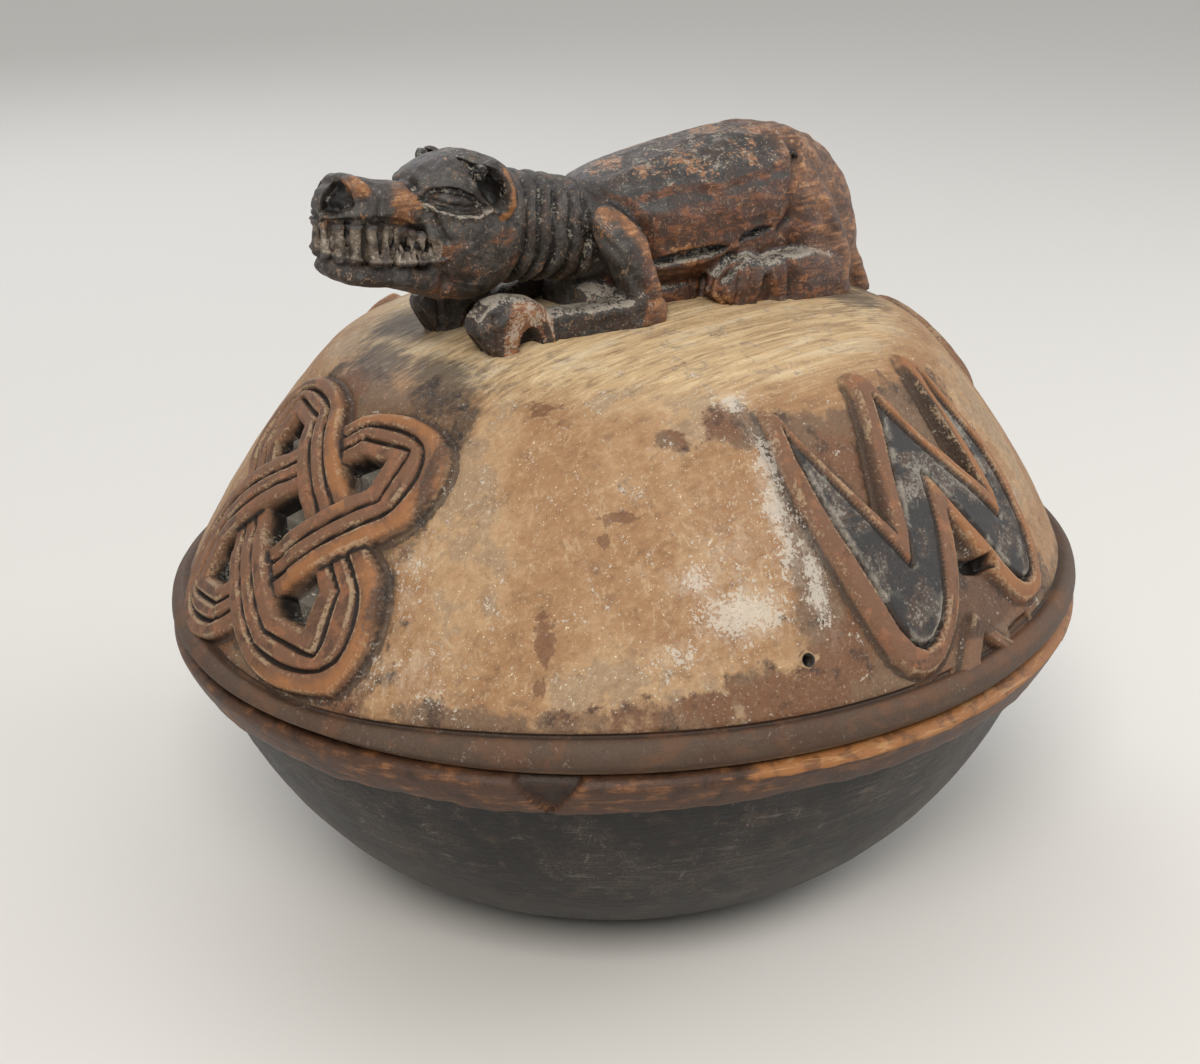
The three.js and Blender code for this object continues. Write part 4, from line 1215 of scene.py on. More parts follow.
def ball(
    middle: tuple[float, float, float], sizes: tuple[float, float, float], tilt: float = 0.0, yaw: float = 0.0
) -> bmesh.types.BMesh:
    """An egg shape.

    Args:
        middle: Its middle.
        sizes: Its half sizes.
        tilt: Degrees that it is turned round Y.
        yaw: Degrees that it is turned round Z.

    Returns:
        The egg shape.
    """
    bm = bmesh.new()
    bmesh.ops.create_uvsphere(bm, u_segments=32, v_segments=20, radius=1.0)
    bmesh.ops.scale(bm, vec=sizes, verts=bm.verts[:])
    turn = Matrix.Rotation(math.radians(yaw), 4, "Z") @ Matrix.Rotation(math.radians(tilt), 4, "Y")
    bmesh.ops.transform(bm, matrix=Matrix.Translation(Vector(middle)) @ turn, verts=bm.verts[:])
    return bm


def joined(parts: list[bmesh.types.BMesh]) -> bmesh.types.BMesh:
    """Puts several closed shapes into one bmesh.

    Args:
        parts: The shapes, which are freed.

    Returns:
        The one bmesh.
    """
    whole = bmesh.new()
    for part in parts:
        mesh = bpy.data.meshes.new("part")
        part.to_mesh(mesh)
        part.free()
        whole.from_mesh(mesh)
        bpy.data.meshes.remove(mesh)
    return whole


def cut_by(part: bmesh.types.BMesh, tool: bmesh.types.BMesh) -> bmesh.types.BMesh:
    """Cuts one closed shape away from another.

    Args:
        part: The shape that is cut.
        tool: The shape that is cut away from it.

    Returns:
        What is left of it.
    """
    body, knife = piece("cut_body", part), piece("cut_knife", tool)
    cut = body.modifiers.new("cut", "BOOLEAN")
    cut.operation, cut.solver, cut.object = "DIFFERENCE", "EXACT", knife
    apply_modifiers(body)
    result = bmesh.new()
    result.from_mesh(body.data)
    bpy.data.objects.remove(body)
    bpy.data.objects.remove(knife)
    return result


# The way toward whoever looks, for each view; a pushed stamp sinks against it
VIEWS = {
    "left": (0, -1, 0),
    "right": (0, 1, 0),
    "top": (0, 0, 1),
    "front": (-1, 0, 0),
    "front_left": (-0.7, -0.7, 0.1),
    "front_right": (-0.7, 0.7, 0.1),
}


class Sculpture:
    """A mass of joined limbs made one skin, whose surface is then worked with strokes of the knife."""

    def __init__(self, name: str, parts: list[bmesh.types.BMesh], voxel: float, relax: int) -> None:
        """Joins the limbs into one skin.

        Args:
            name: The piece's name.
            parts: The closed limbs.
            voxel: How fine the skin is, in millimetres.
            relax: How many times the skin is smoothed.
        """
        self.object = piece(name, joined(parts))
        skin = self.object.modifiers.new("skin", "REMESH")
        skin.mode, skin.voxel_size, skin.adaptivity = "VOXEL", voxel, 0.0
        apply_modifiers(self.object)
        self.mesh = self.object.data
        self.edges = np.empty(len(self.mesh.edges) * 2, dtype=np.int64)
        self.mesh.edges.foreach_get("vertices", self.edges)
        self.edges = self.edges.reshape(-1, 2)
        self.count = len(self.mesh.vertices)
        self.degree = np.bincount(self.edges.ravel(), minlength=self.count)
        self.places = coordinates(self.mesh)
        self.smoothed(relax)
        self.settle()

    def neighbours(self, values: np.ndarray) -> np.ndarray:
        """The average over each vertex's neighbours.

        Args:
            values: A number or a row of numbers for each vertex.

        Returns:
            The averages, laid out the same way.
        """
        a, b = self.edges.T
        columns = values if values.ndim == 2 else values[:, None]
        total = np.stack(
            [
                np.bincount(a, column[b], self.count) + np.bincount(b, column[a], self.count)
                for column in columns.T
            ],
            axis=1,
        )
        total /= np.maximum(self.degree, 1)[:, None]
        return total if values.ndim == 2 else total[:, 0]

    def settle(self) -> None:
        """Writes the places back and reads the way that the surface faces."""
        move_to(self.mesh, self.places)
        flat = np.empty(self.count * 3)
        self.mesh.vertex_normals.foreach_get("vector", flat)
        self.facing = flat.reshape(-1, 3)

    def seen(self, view: str) -> tuple[np.ndarray, np.ndarray, np.ndarray]:
        """The surface as it is seen from one direction.

        Args:
            view: "left" or "right" for the animal's sides, "top", "front", "front_left" or "front_right".

        Returns:
            Two coordinates across the view, and how far each place faces it.
        """
        x, y, z = self.places.T
        if view == "top":
            return x, y, self.facing[:, 2]
        if view == "front":
            return y, z, -self.facing[:, 0]
        if view in ("front_left", "front_right"):
            side = -1.0 if view == "front_left" else 1.0
            return self.across(view, x, y), z, (side * self.facing[:, 1] - self.facing[:, 0]) * math.sqrt(0.5)
        return x, z, self.facing[:, 1] * (1.0 if view == "right" else -1.0)

    def across(self, view: str, x: np.ndarray, y: np.ndarray) -> np.ndarray:
        """The sideways coordinate of a place seen from one of the front corners."""
        return (x - y if view == "front_left" else x + y) * math.sqrt(0.5)

    def stroke(
        self, views: str, line: Outline, width: float, depth: float, reach: tuple[float, ...] = (), edge: float = 0.15
    ) -> None:
        """Cuts a groove, or leaves a ridge, along a line drawn on the surface.

        Args:
            views: The views that it is drawn in, with spaces between them.
            line: Points of the line, in the view's own coordinates.
            width: Half its width.
            depth: How deep it is; a negative depth leaves a ridge.
            reach: Lowest and highest X that it may touch.
            edge: How far a place must face the view to be touched.
        """
        for view in views.split():
            u, v, towards = self.seen(view)
            best = np.full(u.shape, 1e9)
            for (ax, ay), (bx, by) in zip(line, line[1:]):
                ex, ey = bx - ax, by - ay
                share = np.clip(((u - ax) * ex + (v - ay) * ey) / (ex * ex + ey * ey), 0.0, 1.0)
                best = np.minimum(best, np.hypot(u - ax - share * ex, v - ay - share * ey))
            weight = np.exp(-((best / width) ** 2)) * smooth(edge - 0.15, edge + 0.2, towards)
            if reach:
                weight *= (self.places[:, 0] > reach[0]) * (self.places[:, 0] < reach[1])
            self.places = self.places - self.facing * (depth * weight)[:, None]

    def stamp(
        self, views: str, outline: Outline, depth: float, wall: float, edge: float = 0.15, push: bool = False
    ) -> None:
        """Sinks or raises the surface inside an outline.

        Args:
            views: The views that it is drawn in, with spaces between them.
            outline: Corners of the outline, in the view's own coordinates.
            depth: How deep it sinks; a negative depth raises it.
            wall: How wide its sloping wall is.
            edge: How far a place must face the view to be touched.
            push: Whether it sinks straight along the view and not square to the surface.
        """
        for view in views.split():
            u, v, towards = self.seen(view)
            out = polygon_distance(u, v, outline)
            weight = smooth(wall / 2, -wall / 2, out) * smooth(edge - 0.15, edge + 0.2, towards)
            way = self.facing
            if push:
                way = np.array(VIEWS[view], float)[None, :]
            self.places = self.places - way * (depth * weight)[:, None]

    def chatter(self, wave: float, depth: float, seed: float) -> None:
        """Leaves the shallow uneven marks of the knife all over."""
        x, y, z = self.places.T
        self.places = self.places + self.facing * (depth * ripple(x, y, z, wave, seed))[:, None]

    def scooped(self, size: float, depth: float, seed: int) -> None:
        """Leaves the wide shallow cuts of the adze, with low arrises between them.

        Args:
            size: How wide a cut is.
            depth: How deep its middle is.
            seed: Where the cuts fall.
        """
        stretched = self.places * np.array([0.6, 1.0, 1.0])
        picked = np.random.default_rng(seed).permutation(len(stretched))
        middles = []
        for place in stretched[picked[:4000]]:
            if all(np.hypot(*(place - other)[:2]) + abs(place[2] - other[2]) > size for other in middles):
                middles.append(place)
        first = np.full(len(stretched), 1e9)
        second = first.copy()
        for middle in middles:
            far = np.sqrt(((stretched - middle) ** 2).sum(axis=1))
            second = np.minimum(second, np.maximum(first, far))
            first = np.minimum(first, far)
        self.places = self.places - self.facing * (depth * smooth(0.0, size * 0.55, second - first))[:, None]

    def smoothed(self, rounds: int) -> None:
        """Rubs the whole surface down."""
        for _ in range(rounds):
            self.places += 0.5 * (self.neighbours(self.places) - self.places)

    def worn(self) -> tuple[np.ndarray, np.ndarray]:
        """Finds the hollows, which are painted dark for the dirt that they hold and as painted shade, and the edges
        that hands rub bare.

        Returns:
            How hollow and how proud each place is, from 0 to 1.
        """
        away = np.einsum("ij,ij->i", self.neighbours(self.places) - self.places, self.facing)
        for _ in range(3):
            away = 0.4 * away + 0.6 * self.neighbours(away)
        broad = away.copy()
        for _ in range(14):
            broad = self.neighbours(broad)
        both = away + 1.6 * broad
        step = float(np.median(np.abs(both))) + 1e-6
        return np.clip(both / step / 7.0 - 0.1, 0, 1), np.clip(-both / step / 7.0 - 0.15, 0, 1)


@dataclass
class Animal:
    """The animal that lies on the lid with its teeth bared, its legs folded forward along the wood."""

    form: Form
    turn: float = -6.0
    voxel_body: float = 0.8
    voxel_head: float = 0.5
    arch: tuple[tuple[float, float], ...] = (
        (-62.4, -9.0), (-62.4, -3.7), (-61.0, 1.0), (-58.2, 3.2), (-55.5, 0.0), (-53.8, -4.3), (-53.6, -9.0)
    )
    ear_hollow: tuple[tuple[float, float], ...] = (
        (-71.4, 54.0), (-66.6, 51.8), (-64.2, 48.0), (-63.8, 43.5), (-64.4, 39.8), (-66.8, 41.2), (-69.8, 45.6),
        (-71.2, 50.4)
    )
    nostril: tuple[tuple[float, float, float], ...] = (
        (-115.8, 2.0, 42.6), (-114.4, 7.0, 42.4), (-110.4, 11.0, 44.4), (-110.8, 9.6, 47.8), (-111.6, 6.6, 50.2),
        (-112.6, 4.2, 50.0), (-114.6, 2.2, 46.8)
    )
    gum: tuple[tuple[float, float], ...] = (
        (-116.0, 30.6), (-111.0, 29.2), (-106.7, 28.2), (-96.0, 26.6), (-86.4, 25.8), (-82.0, 25.6)
    )

    def place(self, made: bpy.types.Object) -> None:
        """Turns a finished piece with the animal and stands it on the lid's crown.

        Args:
            made: The piece.
        """
        flat = coordinates(made.data)
        c, k = math.cos(math.radians(self.turn)), math.sin(math.radians(self.turn))
        x, y, z = flat.T
        move_to(made.data, np.stack([x * c - y * k, x * k + y * c, z + self.form.crown], axis=1) * MM)
        face_outward(made.data)

    def trunk(self) -> list[bmesh.types.BMesh]:
        """The body, the shoulders and haunches, and the wood left under the belly.

        Returns:
            The closed shapes.
        """
        back = [(-28, 35, 12, 12), (-25, 38, 9, 15.5), (-21, 40.6, 7, 18.5), (-15, 43, 5, 21.8), (-6, 45.2, 3.5, 24)]
        back += [(10, 47.8, 2.5, 25), (24, 49.8, 1, 25.5), (38, 51.2, -1, 25.4), (48, 51.5, -3, 24.4)]
        back += [(55, 51, -4, 21.6), (61, 48.6, -5.5, 18), (67, 44.5, -7.5, 15), (72.5, 38.5, -10, 14)]
        back += [(78, 30, -13, 12.2), (83, 19, -16, 10.6), (87, 7, -18, 9.4), (90, -6, -20, 8.6)]
        square = [2.3] * 3 + [2.4, 2.4, 2.5, 2.6, 2.6, 2.6, 2.5, 2.4, 2.3] + [2.2] * 5
        rows = [(x, 0, (top + low) / 2, wide, (top - low) / 2, k) for (x, top, low, wide), k in zip(back, square)]
        web = limb([(-28, 0, -4, 14, 12, 4), (20, 0, -4, 19, 12, 4), (70, 0, -8, 15, 12, 4)])
        return [limb(rows, sides=36), web]

    def neck(self) -> bmesh.types.BMesh:
        """The thick neck that the rings are cut into.

        Returns:
            The neck.
        """
        rings = [(-60, 0, 29.5, 15.5, 17, 2.2), (-52, 0, 29.5, 16.4, 17.6, 2.2), (-44, 0, 28.6, 16.6, 17.0, 2.2)]
        rings += [(-36, 0, 27, 16.6, 16.4, 2.2), (-29, 0, 25.5, 16.6, 16.4, 2.2), (-20, 0, 24, 17, 16, 2.2)]
        return limb(rings, sides=36)

    def foreleg(self, side: int) -> list[bmesh.types.BMesh]:
        """A shoulder, the upper arm, the forearm laid forward and the paw.

        Args:
            side: -1 for the near side and 1 for the far side.

        Returns:
            The closed limbs.
        """
        elbow, wrist = (27.8, 19.4) if side == NEAR else (26.5, 13.8)
        upper = [(-25.5, 15, 32.5, 4.6, 6, 2.4), (-23.6, 20, 28.5, 5.8, 7.2, 2.5)]
        upper += [(-21.5, 24.4, 22.5, 6.2, 7.4, 2.8), (-18.4, 26.4, 13.5, 5.8, 6.6, 3.0)]
        upper += [(-16.6, 27.8, 5, 5.4, 6, 3.4), (-16.2, 27.8, -5, 5.4, 6, 3.4)]
        lower = [(-10.6, elbow, -1.5, 5.2, 7.2, 5), (-18, elbow, 0.4, 6.2, 7.6, 5)]
        lower += [(-34, (elbow + wrist) / 2, 0.2, 6.4, 6.4, 5), (-54, wrist, -1, 6, 7.4, 5)]
        paw = [(-73, wrist, -2.4, 4.4, 7.5, 3.2), (-71.5, wrist, -1.4, 5.6, 10.8, 3.2)]
        paw += [(-68.5, wrist, 0.2, 6.2, 12.8, 3.2), (-64, wrist, 0.8, 6.4, 13.0, 3.2)]
        paw += [(-58, wrist, 0.0, 6.5, 11.9, 3.2), (-53, wrist, -1.5, 6.4, 9.4, 3.2)]
        paw += [(-49.4, wrist, -3, 6.0, 6.2, 3.2)]
        return [limb(upper, side), limb(lower, side), limb(paw, side)]

    def hindleg(self, side: int) -> list[bmesh.types.BMesh]:
        """A haunch, the shank laid forward and the paw.

        Args:
            side: -1 for the near side and 1 for the far side.

        Returns:
            The closed limbs.
        """
        haunch = [(49, 12.5, 38, 10.5, 11.5, 2.4), (55, 18, 28, 8.2, 12.2, 2.6)]
        haunch += [(59.4, 20, 18, 7.2, 12, 2.8), (64, 21.2, 6, 6.4, 11.4, 3)]
        haunch += [(66.5, 21.4, -8, 6.2, 10.6, 3.2)]
        shank = [(69, 22.4, -5, 5.6, 10, 4), (61, 24.6, -0.5, 6.2, 11, 4)]
        shank += [(50, 26.2, 1.6, 6.6, 11.4, 4), (38, 26.2, 1.4, 6.4, 11.2, 4), (32, 26, 0, 6, 10, 4)]
        paw = [(15.6, 25.2, -1, 4.2, 6, 3), (17.4, 25.2, 0.8, 5.4, 9, 3)]
        paw += [(20.6, 25.4, 1.4, 6.2, 11.8, 3), (26, 25.6, 1.6, 6.5, 12.6, 3)]
        paw += [(31.6, 25.6, 0.8, 6.5, 11.6, 3), (36, 25.6, 0, 6.2, 9.2, 3), (39, 25.6, -1, 5.6, 6.6, 3)]
        return [limb(haunch, side), limb(shank, side), limb(paw, side)]

    def tail(self) -> bmesh.types.BMesh:
        """The tail, laid down the middle of the rump.

        Returns:
            The tail.
        """
        rings = [(64, 0, 38, 3.6, 4.0, 2.6), (72, -0.6, 33, 4.4, 4.6, 2.6), (78.5, -1.6, 25.4, 4.8, 4.8, 2.6)]
        rings += [(84.8, -2.6, 14.5, 4.8, 4.8, 2.6), (91, -3.6, 3.5, 4.8, 4.8, 2.6)]
        rings += [(96, -4.6, -7.5, 4.6, 4.8, 2.6), (98.4, -5, -14, 4.4, 4.6, 2.6)]
        return limb(rings)

    def body(self) -> Sculpture:
        """Everything behind the head.

        Returns:
            The worked skin.
        """
        parts = self.trunk() + [self.neck(), self.tail()]
        for side in (NEAR, FAR):
            parts += self.foreleg(side) + self.hindleg(side)
        made = Sculpture("animal_body", parts, self.voxel_body, 3)
        self.cut_rings(made)
        both = "left right"
        made.stroke(both, [(-14, 37.2), (-6.7, 38.4), (4, 39.6)], 1.6, -0.5)
        made.stroke(both, [(10, 38.6), (19, 38.3), (31, 40.1), (43, 42), (52, 44.6)], 1.6, -0.6)
        made.stroke(both, [(-10, 35), (-3, 36), (6, 36.6), (15, 35.4)], 1.9, 0.5)
        made.stroke(both, [(22, 36), (31, 37.2), (41, 38.6)], 2.0, 0.55)
        made.settle()
        arm = [(-24.7, 40.3), (-17.2, 34.5), (-12.2, 26), (-9.6, 15), (-8.6, 5), (-8.8, -4)]
        made.stroke(both, arm, 1.7, 1.5)
        made.stroke(both, [(-33.5, 31.5), (-28.8, 24.1), (-23.6, 15.5), (-20, 9.8)], 1.3, 1.0)
        made.stroke(both, [(53.2, 45.5), (50.7, 37), (48.2, 30.1), (46.6, 23.7), (43, 19)], 1.8, 1.9)
        hip = [(46.8, 50.5), (52.6, 50), (57.3, 48.2), (65.6, 39.3), (71.3, 27.2), (74.6, 16.8), (76.4, 5.9)]
        made.stroke(both, hip, 2.6, -1.1)
        made.stroke(both, [(53, 42), (57, 33), (61, 22), (63.5, 10), (64.5, -2)], 4.2, 0.6)
        made.stroke(both, [(-8, 30), (8, 28), (24, 30), (40, 32)], 5.5, -0.7)
        for at in (-2.0, 11.0, 24.5, 37.0):
            made.stroke(both, [(at, 36), (at - 2.5, 28), (at - 1.5, 21)], 2.4, 0.35)
        made.settle()
        slit = [(-9.5, 15.2), (-5, 16.9), (1.5, 18.0), (12.3, 17.9), (20.5, 17.3), (17, 15.8), (5.1, 14.4), (-5, 14.2)]
        made.stamp("left", slit, 4.2, 0.9, 0.0, True)
        end = [(24.6, 18.0), (28, 19.6), (32, 19.4), (39.4, 21.4), (35, 21.6), (30.8, 21), (27, 20.6)]
        made.stamp("left", end, 3.6, 0.8, 0.0, True)
        made.stroke("right", [(0, 19), (10, 18.4), (19, 19.6)], 0.7, 1.4)
        made.stroke(both, [(-8, 13), (6, 12.4), (17, 14), (24, 17)], 0.8, -0.6)
        made.stroke("left", [(9, 13), (10, 8), (12, 2)], 0.6, 0.6)
        self.shape_paws(made)
        made.scooped(10.0, 0.4, 3)
        made.chatter(9.0, 0.14, 4.0)
        made.chatter(21.0, 0.25, 7.0)
        made.settle()
        return made

    def cut_rings(self, made: Sculpture) -> None:
        """Cuts the five grooves of the neck and rounds the rings between them.

        Args:
            made: The body's skin.
        """
        x, y, z = made.places.T
        lean = np.interp(z, [8, 14, 22, 30, 38, 45.5, 50], [-1.5, -0.6, 0.3, 0.0, 2.2, 5.8, 7.0])
        ring = x - lean + 0.35 * np.sin(0.23 * y + 0.31 * z)
        around = np.hypot(y / 17.5, (z - 27) / 19)
        fade = smooth(1.16, 1.08, around) * smooth(-25.5, -28.5, ring) * smooth(18.5, 17.0, np.abs(y))
        grooves = np.array([-54.4, -48.8, -43.0, -36.6, -30.4])
        far = np.abs(ring[:, None] - grooves[None, :]).min(axis=1)
        cut = 2.0 * np.clip(1.2 - far / 1.1, 0, 1) * fade
        round_ = 0.55 * np.cos(np.clip(far / 2.6, 0, 1) * np.pi) * fade * smooth(-57, -55, ring)
        made.places = made.places - made.facing * (cut + round_)[:, None]
        made.settle()

    def shape_paws(self, made: Sculpture) -> None:
        """Cuts the arched notches in the paws' sides and the grooves between the toes.

        Args:
            made: The body's skin.
        """
        made.stamp("left right", rounded(self.arch), 5.0, 0.9, 0.25, True)
        hind = [(27.6, -6), (28.8, 3), (30.6, 7.2), (33, 7.4), (35, 2), (36.4, -6)]
        made.stamp("left right", rounded(hind), 2.6, 1.1, 0.25, True)
        for middle in (-19.4, 13.8):
            for off in (-2.4, 1.6):
                toe = [(middle + off, 11), (middle + off * 1.1, 4), (middle + off * 1.2, -8)]
                made.stroke("front", toe, 0.8, 1.5, (-76, -66), 0.1)
        for middle in (-25.6, 25.6):
            for off in (-3.2, 0.4):
                toe = [(middle + off, 14), (middle + off * 1.1, 4), (middle + off * 1.2, -6)]
                made.stroke("front", toe, 0.8, 1.5, (8, 24), 0.1)
        made.stroke("left right", [(20.5, 14), (16, 7), (13.5, -3)], 0.8, 1.2)
        made.stroke("left right", [(23.2, 14), (20, 6), (18.5, -4)], 0.8, 1.1)
        made.stroke("left right", [(26, 13), (24.4, 6), (23.6, -4)], 0.7, 0.8)
        made.stroke("left right", [(-71.5, 8), (-70.4, 2), (-70.2, -6)], 0.8, 1.1)
        brow = [(-68.9, 5), (-66.6, 7.5), (-62.5, 9.4), (-57, 8.2), (-52.6, 4), (-50.6, -2)]
        made.stroke("left right", brow, 1.2, -0.5)
        made.stroke("left right", [(41.5, 11), (41.8, 3), (42, -5)], 1.2, 1.4)
        made.stroke("left right", [(-48.4, 6), (-48, 0), (-48, -6)], 1.3, 1.2)
        made.settle()

    def skull(self) -> list[bmesh.types.BMesh]:
        """The round head, the muzzle over the lips and the lower jaw.

        Returns:
            The closed shapes.
        """
        head = [(-51, 45, 17, 13), (-53.5, 48.4, 14.4, 16.2), (-57, 51.6, 11.8, 18.2), (-62, 54.2, 9.7, 19.5)]
        head += [(-68, 55.4, 8.7, 19.9), (-74, 54.9, 9, 19.3), (-79, 52.7, 10, 17.8), (-83, 49.6, 11.8, 15.6)]
        head += [(-86, 46, 14.5, 13)]
        upper = [(-80, 47, 30.0, 12.6), (-86, 47.6, 32.4, 11.9), (-92, 48.2, 34.3, 11.2), (-98, 49.3, 36.0, 11.4)]
        upper += [(-103, 50.8, 37.1, 12.2), (-107, 51.8, 37.4, 12.2), (-110.2, 51.2, 37.6, 11)]
        upper += [(-112.6, 49.2, 37.8, 8.8), (-114.8, 46.6, 38.2, 6), (-116.2, 44, 39.2, 3)]
        lower = [(-78, 25.6, 10.5, 13.4), (-84, 25.8, 12.6, 12.9), (-90, 26.2, 15, 12.5), (-97, 26.7, 17.4, 12.3)]
        lower += [(-103, 27.2, 18.4, 12), (-108, 28.6, 19.6, 10.9), (-111.5, 29.4, 21, 9), (-114, 30.2, 22.8, 6.4)]
        lower += [(-115.6, 30.6, 25, 3.6)]
        core = [(-78, 36, 20, 11.4), (-90, 38, 22, 10), (-100, 41, 23, 9.8), (-106, 43, 24, 9.4), (-110, 44, 25, 7.8)]
        core += [(-112.4, 44, 26, 5.6), (-113.6, 43, 28, 3)]
        made = []
        for rows, square in ((head, 2.25), (upper, 2.7), (lower, 2.8), (core, 3.0)):
            made.append(lofted([Ring(x, 0, (a + b) / 2, w, (a - b) / 2, square) for x, a, b, w in rows], 36))
        return made

    def teeth(self) -> list[bmesh.types.BMesh]:
        """The blunt teeth that stand round the open lips.

        Returns:
            The teeth.
        """
        bow = [(-83.5, 12.1), (-90, 11.6), (-97, 11.3), (-103, 11.1), (-107.5, 10.1), (-110.8, 8.2), (-113.2, 5.4)]
        bow += [(-114.4, 2.2)]
        whole = np.array([(x, -y) for x, y in bow] + [(x, y) for x, y in reversed(bow)])
        step = np.hypot(*np.diff(whole, axis=0).T)
        arc = np.concatenate([[0.0], np.cumsum(step)])
        # Where one tooth ends and the next begins, uneven as the carver left them
        shares = [0.0, 0.9, 1.9, 2.8, 3.9, 4.8, 6.0, 7.2, 8.2, 9.4, 10.5, 11.7, 12.6, 13.8, 14.8, 15.9, 16.9, 17.9]
        shares += [19.0]
        parts = []
        for i, (start, stop) in enumerate(zip(shares, shares[1:])):
            share = (start + stop) / 2 / shares[-1] * arc[-1]
            x, y = (float(np.interp(share, arc, whole[:, k])) for k in (0, 1))
            ahead, behind = ([float(np.interp(share + d, arc, whole[:, k])) for k in (0, 1)] for d in (1.0, -1.0))
            way = Vector((ahead[0] - behind[0], ahead[1] - behind[1], 0)).normalized()
            out = Vector((way.y, -way.x, 0))
            top = float(np.interp(x, [-115, -103, -97, -92, -86, -82], [38.8, 37.9, 36.9, 35.1, 33.3, 31.8]))
            low = float(np.interp(x, [-115, -111, -107, -96, -86, -82], [29.6, 28.4, 27.4, 26.2, 25.6, 25.4]))
            uneven = 0.4 * math.sin(i * 2.1) + 0.3 * math.sin(i * 5.3)
            wide = (stop - start) / shares[-1] * arc[-1] * (0.38 + 0.05 * math.sin(i * 3.7))
            middle = Vector((x, y, 0)) - out * (1.25 - uneven)
            bm = bmesh.new()
            bmesh.ops.create_cone(
                bm, cap_ends=True, segments=14, radius1=1.0, radius2=0.72 + 0.2 * math.sin(i * 1.3), depth=2.0
            )
            bmesh.ops.scale(bm, vec=(wide * 1.15, 1.8, (top - low) / 2 + 0.8), verts=bm.verts[:])
            lean = Matrix.Rotation(math.radians(5 * math.sin(i * 2.7)), 4, "Y")
            turn = Matrix.Rotation(math.atan2(way.y, way.x), 4, "Z") @ lean
            shift = Matrix.Translation(middle + Vector((0, 0, (top + low) / 2)))
            bmesh.ops.transform(bm, matrix=shift @ turn, verts=bm.verts[:])
            parts.append(bm)
        return parts

    def ear(self, side: int) -> bmesh.types.BMesh:
        """An ear: a leaf hollowed toward the front.

        Args:
            side: -1 for the near side and 1 for the far side.

        Returns:
            The ear.
        """
        drop = 1.6 if side == NEAR else 2.6
        leaf = ball((-64.4, side * 18.0, 47 - drop), (5.8, 5, 9.8), -24, side * 12)
        scoop = ball((-70.2, side * 21.4, 46.8 - drop), (5.6, 5, 8.6), -24, side * 12)
        return cut_by(leaf, scoop)

    def head(self) -> Sculpture:
        """The head with its features cut in.

        Returns:
            The worked skin.
        """
        parts = self.skull() + self.teeth() + [self.ear(NEAR), self.ear(FAR)]
        made = Sculpture("animal_head", parts, self.voxel_head, 2)
        both = "left right"
        socket = [(-86.8, 44.8), (-84, 46.8), (-80.4, 47), (-76.4, 46.2), (-72.6, 44.3), (-69.6, 41.8), (-67.8, 39.6)]
        socket += [(-72, 38.9), (-77.7, 39.1), (-82.4, 40.8), (-85.8, 43)]
        made.stamp(both, rounded(socket), 2.0, 1.0, 0.1)
        made.settle()
        lens = [(-83.6, 44.4), (-80.4, 45.4), (-77, 45), (-73.6, 43.2), (-71.4, 41), (-75, 40.4), (-79, 41)]
        lens += [(-82.2, 42.4)]
        made.stamp(both, rounded(lens), -1.9, 2.4, 0.1)
        made.stroke(both, [(-87, 43), (-83.6, 40.4), (-77.8, 38.3), (-72.2, 37.9), (-67.4, 39.4)], 0.75, -0.75)
        made.stroke(both, [(-87.4, 45.8), (-84, 47.8), (-77.6, 47.5), (-72.6, 45.3), (-68.6, 41.6)], 0.65, -0.4)
        made.stroke(both, [(-83, 43.6), (-79.4, 42.0), (-75, 41.2), (-71.6, 41.2)], 0.55, 0.9)
        made.stroke(both, [(-84.6, 45), (-80.6, 46.4), (-76.6, 45.8), (-72.8, 43.6)], 0.5, 0.9)
        pupil = [(-80.4, 44.2), (-78.6, 44.8), (-76.8, 44.2), (-76.6, 42.8), (-78.4, 42.2), (-80, 42.8)]
        made.stamp(both, pupil, -0.5, 0.9, 0.1)
        made.settle()
        for side, view in ((NEAR, "front_left"), (FAR, "front_right")):
            outline = [(made.across(view, x, side * y), z) for x, y, z in self.nostril]
            made.stamp(view, outline, 5.0, 1.4, 0.3, True)
            shelf = [(-107.6, side * 11.6, 42.6), (-111.4, side * 7, 41.6), (-115.2, side * 1.5, 41.2)]
            made.stroke(view, [(made.across(view, x, y), z) for x, y, z in shelf], 0.9, -0.9)
        made.settle()
        wing = [(-112, 52.6), (-109.6, 51.4), (-106.4, 48.2), (-104.6, 44.2), (-105.8, 41.2)]
        made.stroke(both, wing, 1.7, -1.1, edge=-0.1)
        x, y, z = made.places.T
        tilt = smooth(-100, -108, x) * smooth(42, 48, z)
        made.places = made.places + np.outer(tilt * -0.22 * y, (0, 0, 1))
        made.stroke(both, [(-105.8, 53.2), (-102.4, 49.4), (-101.2, 45), (-102.6, 41)], 1.0, 1.0)
        lip = [(-116, 38.6), (-108, 38.3), (-103.1, 38.0), (-97.9, 36.5), (-92.6, 34.7), (-86.4, 32.9), (-82.6, 31)]
        made.stroke(both, lip, 0.75, -0.6)
        made.stroke("front", [(-9, 38.3), (0, 38.7), (9, 38.3)], 0.75, -0.5)
        made.stroke(both, [(-114, 40.4), (-108, 40.4), (-102.5, 40.2), (-97.4, 38.8), (-92, 37)], 0.7, 0.4)
        made.stroke(both, list(self.gum), 0.9, -0.9)
        made.stroke(both, [(-85.4, 33), (-83, 29.6), (-83.2, 24.6)], 0.9, -0.7)
        made.stroke(both, [(-87.6, 48.4), (-86.2, 42.4), (-84.6, 37), (-82.2, 32)], 1.2, 1.1)
        made.stroke(both, [(-82, 24), (-81.4, 18), (-83.4, 12)], 1.1, 0.9)
        made.settle()
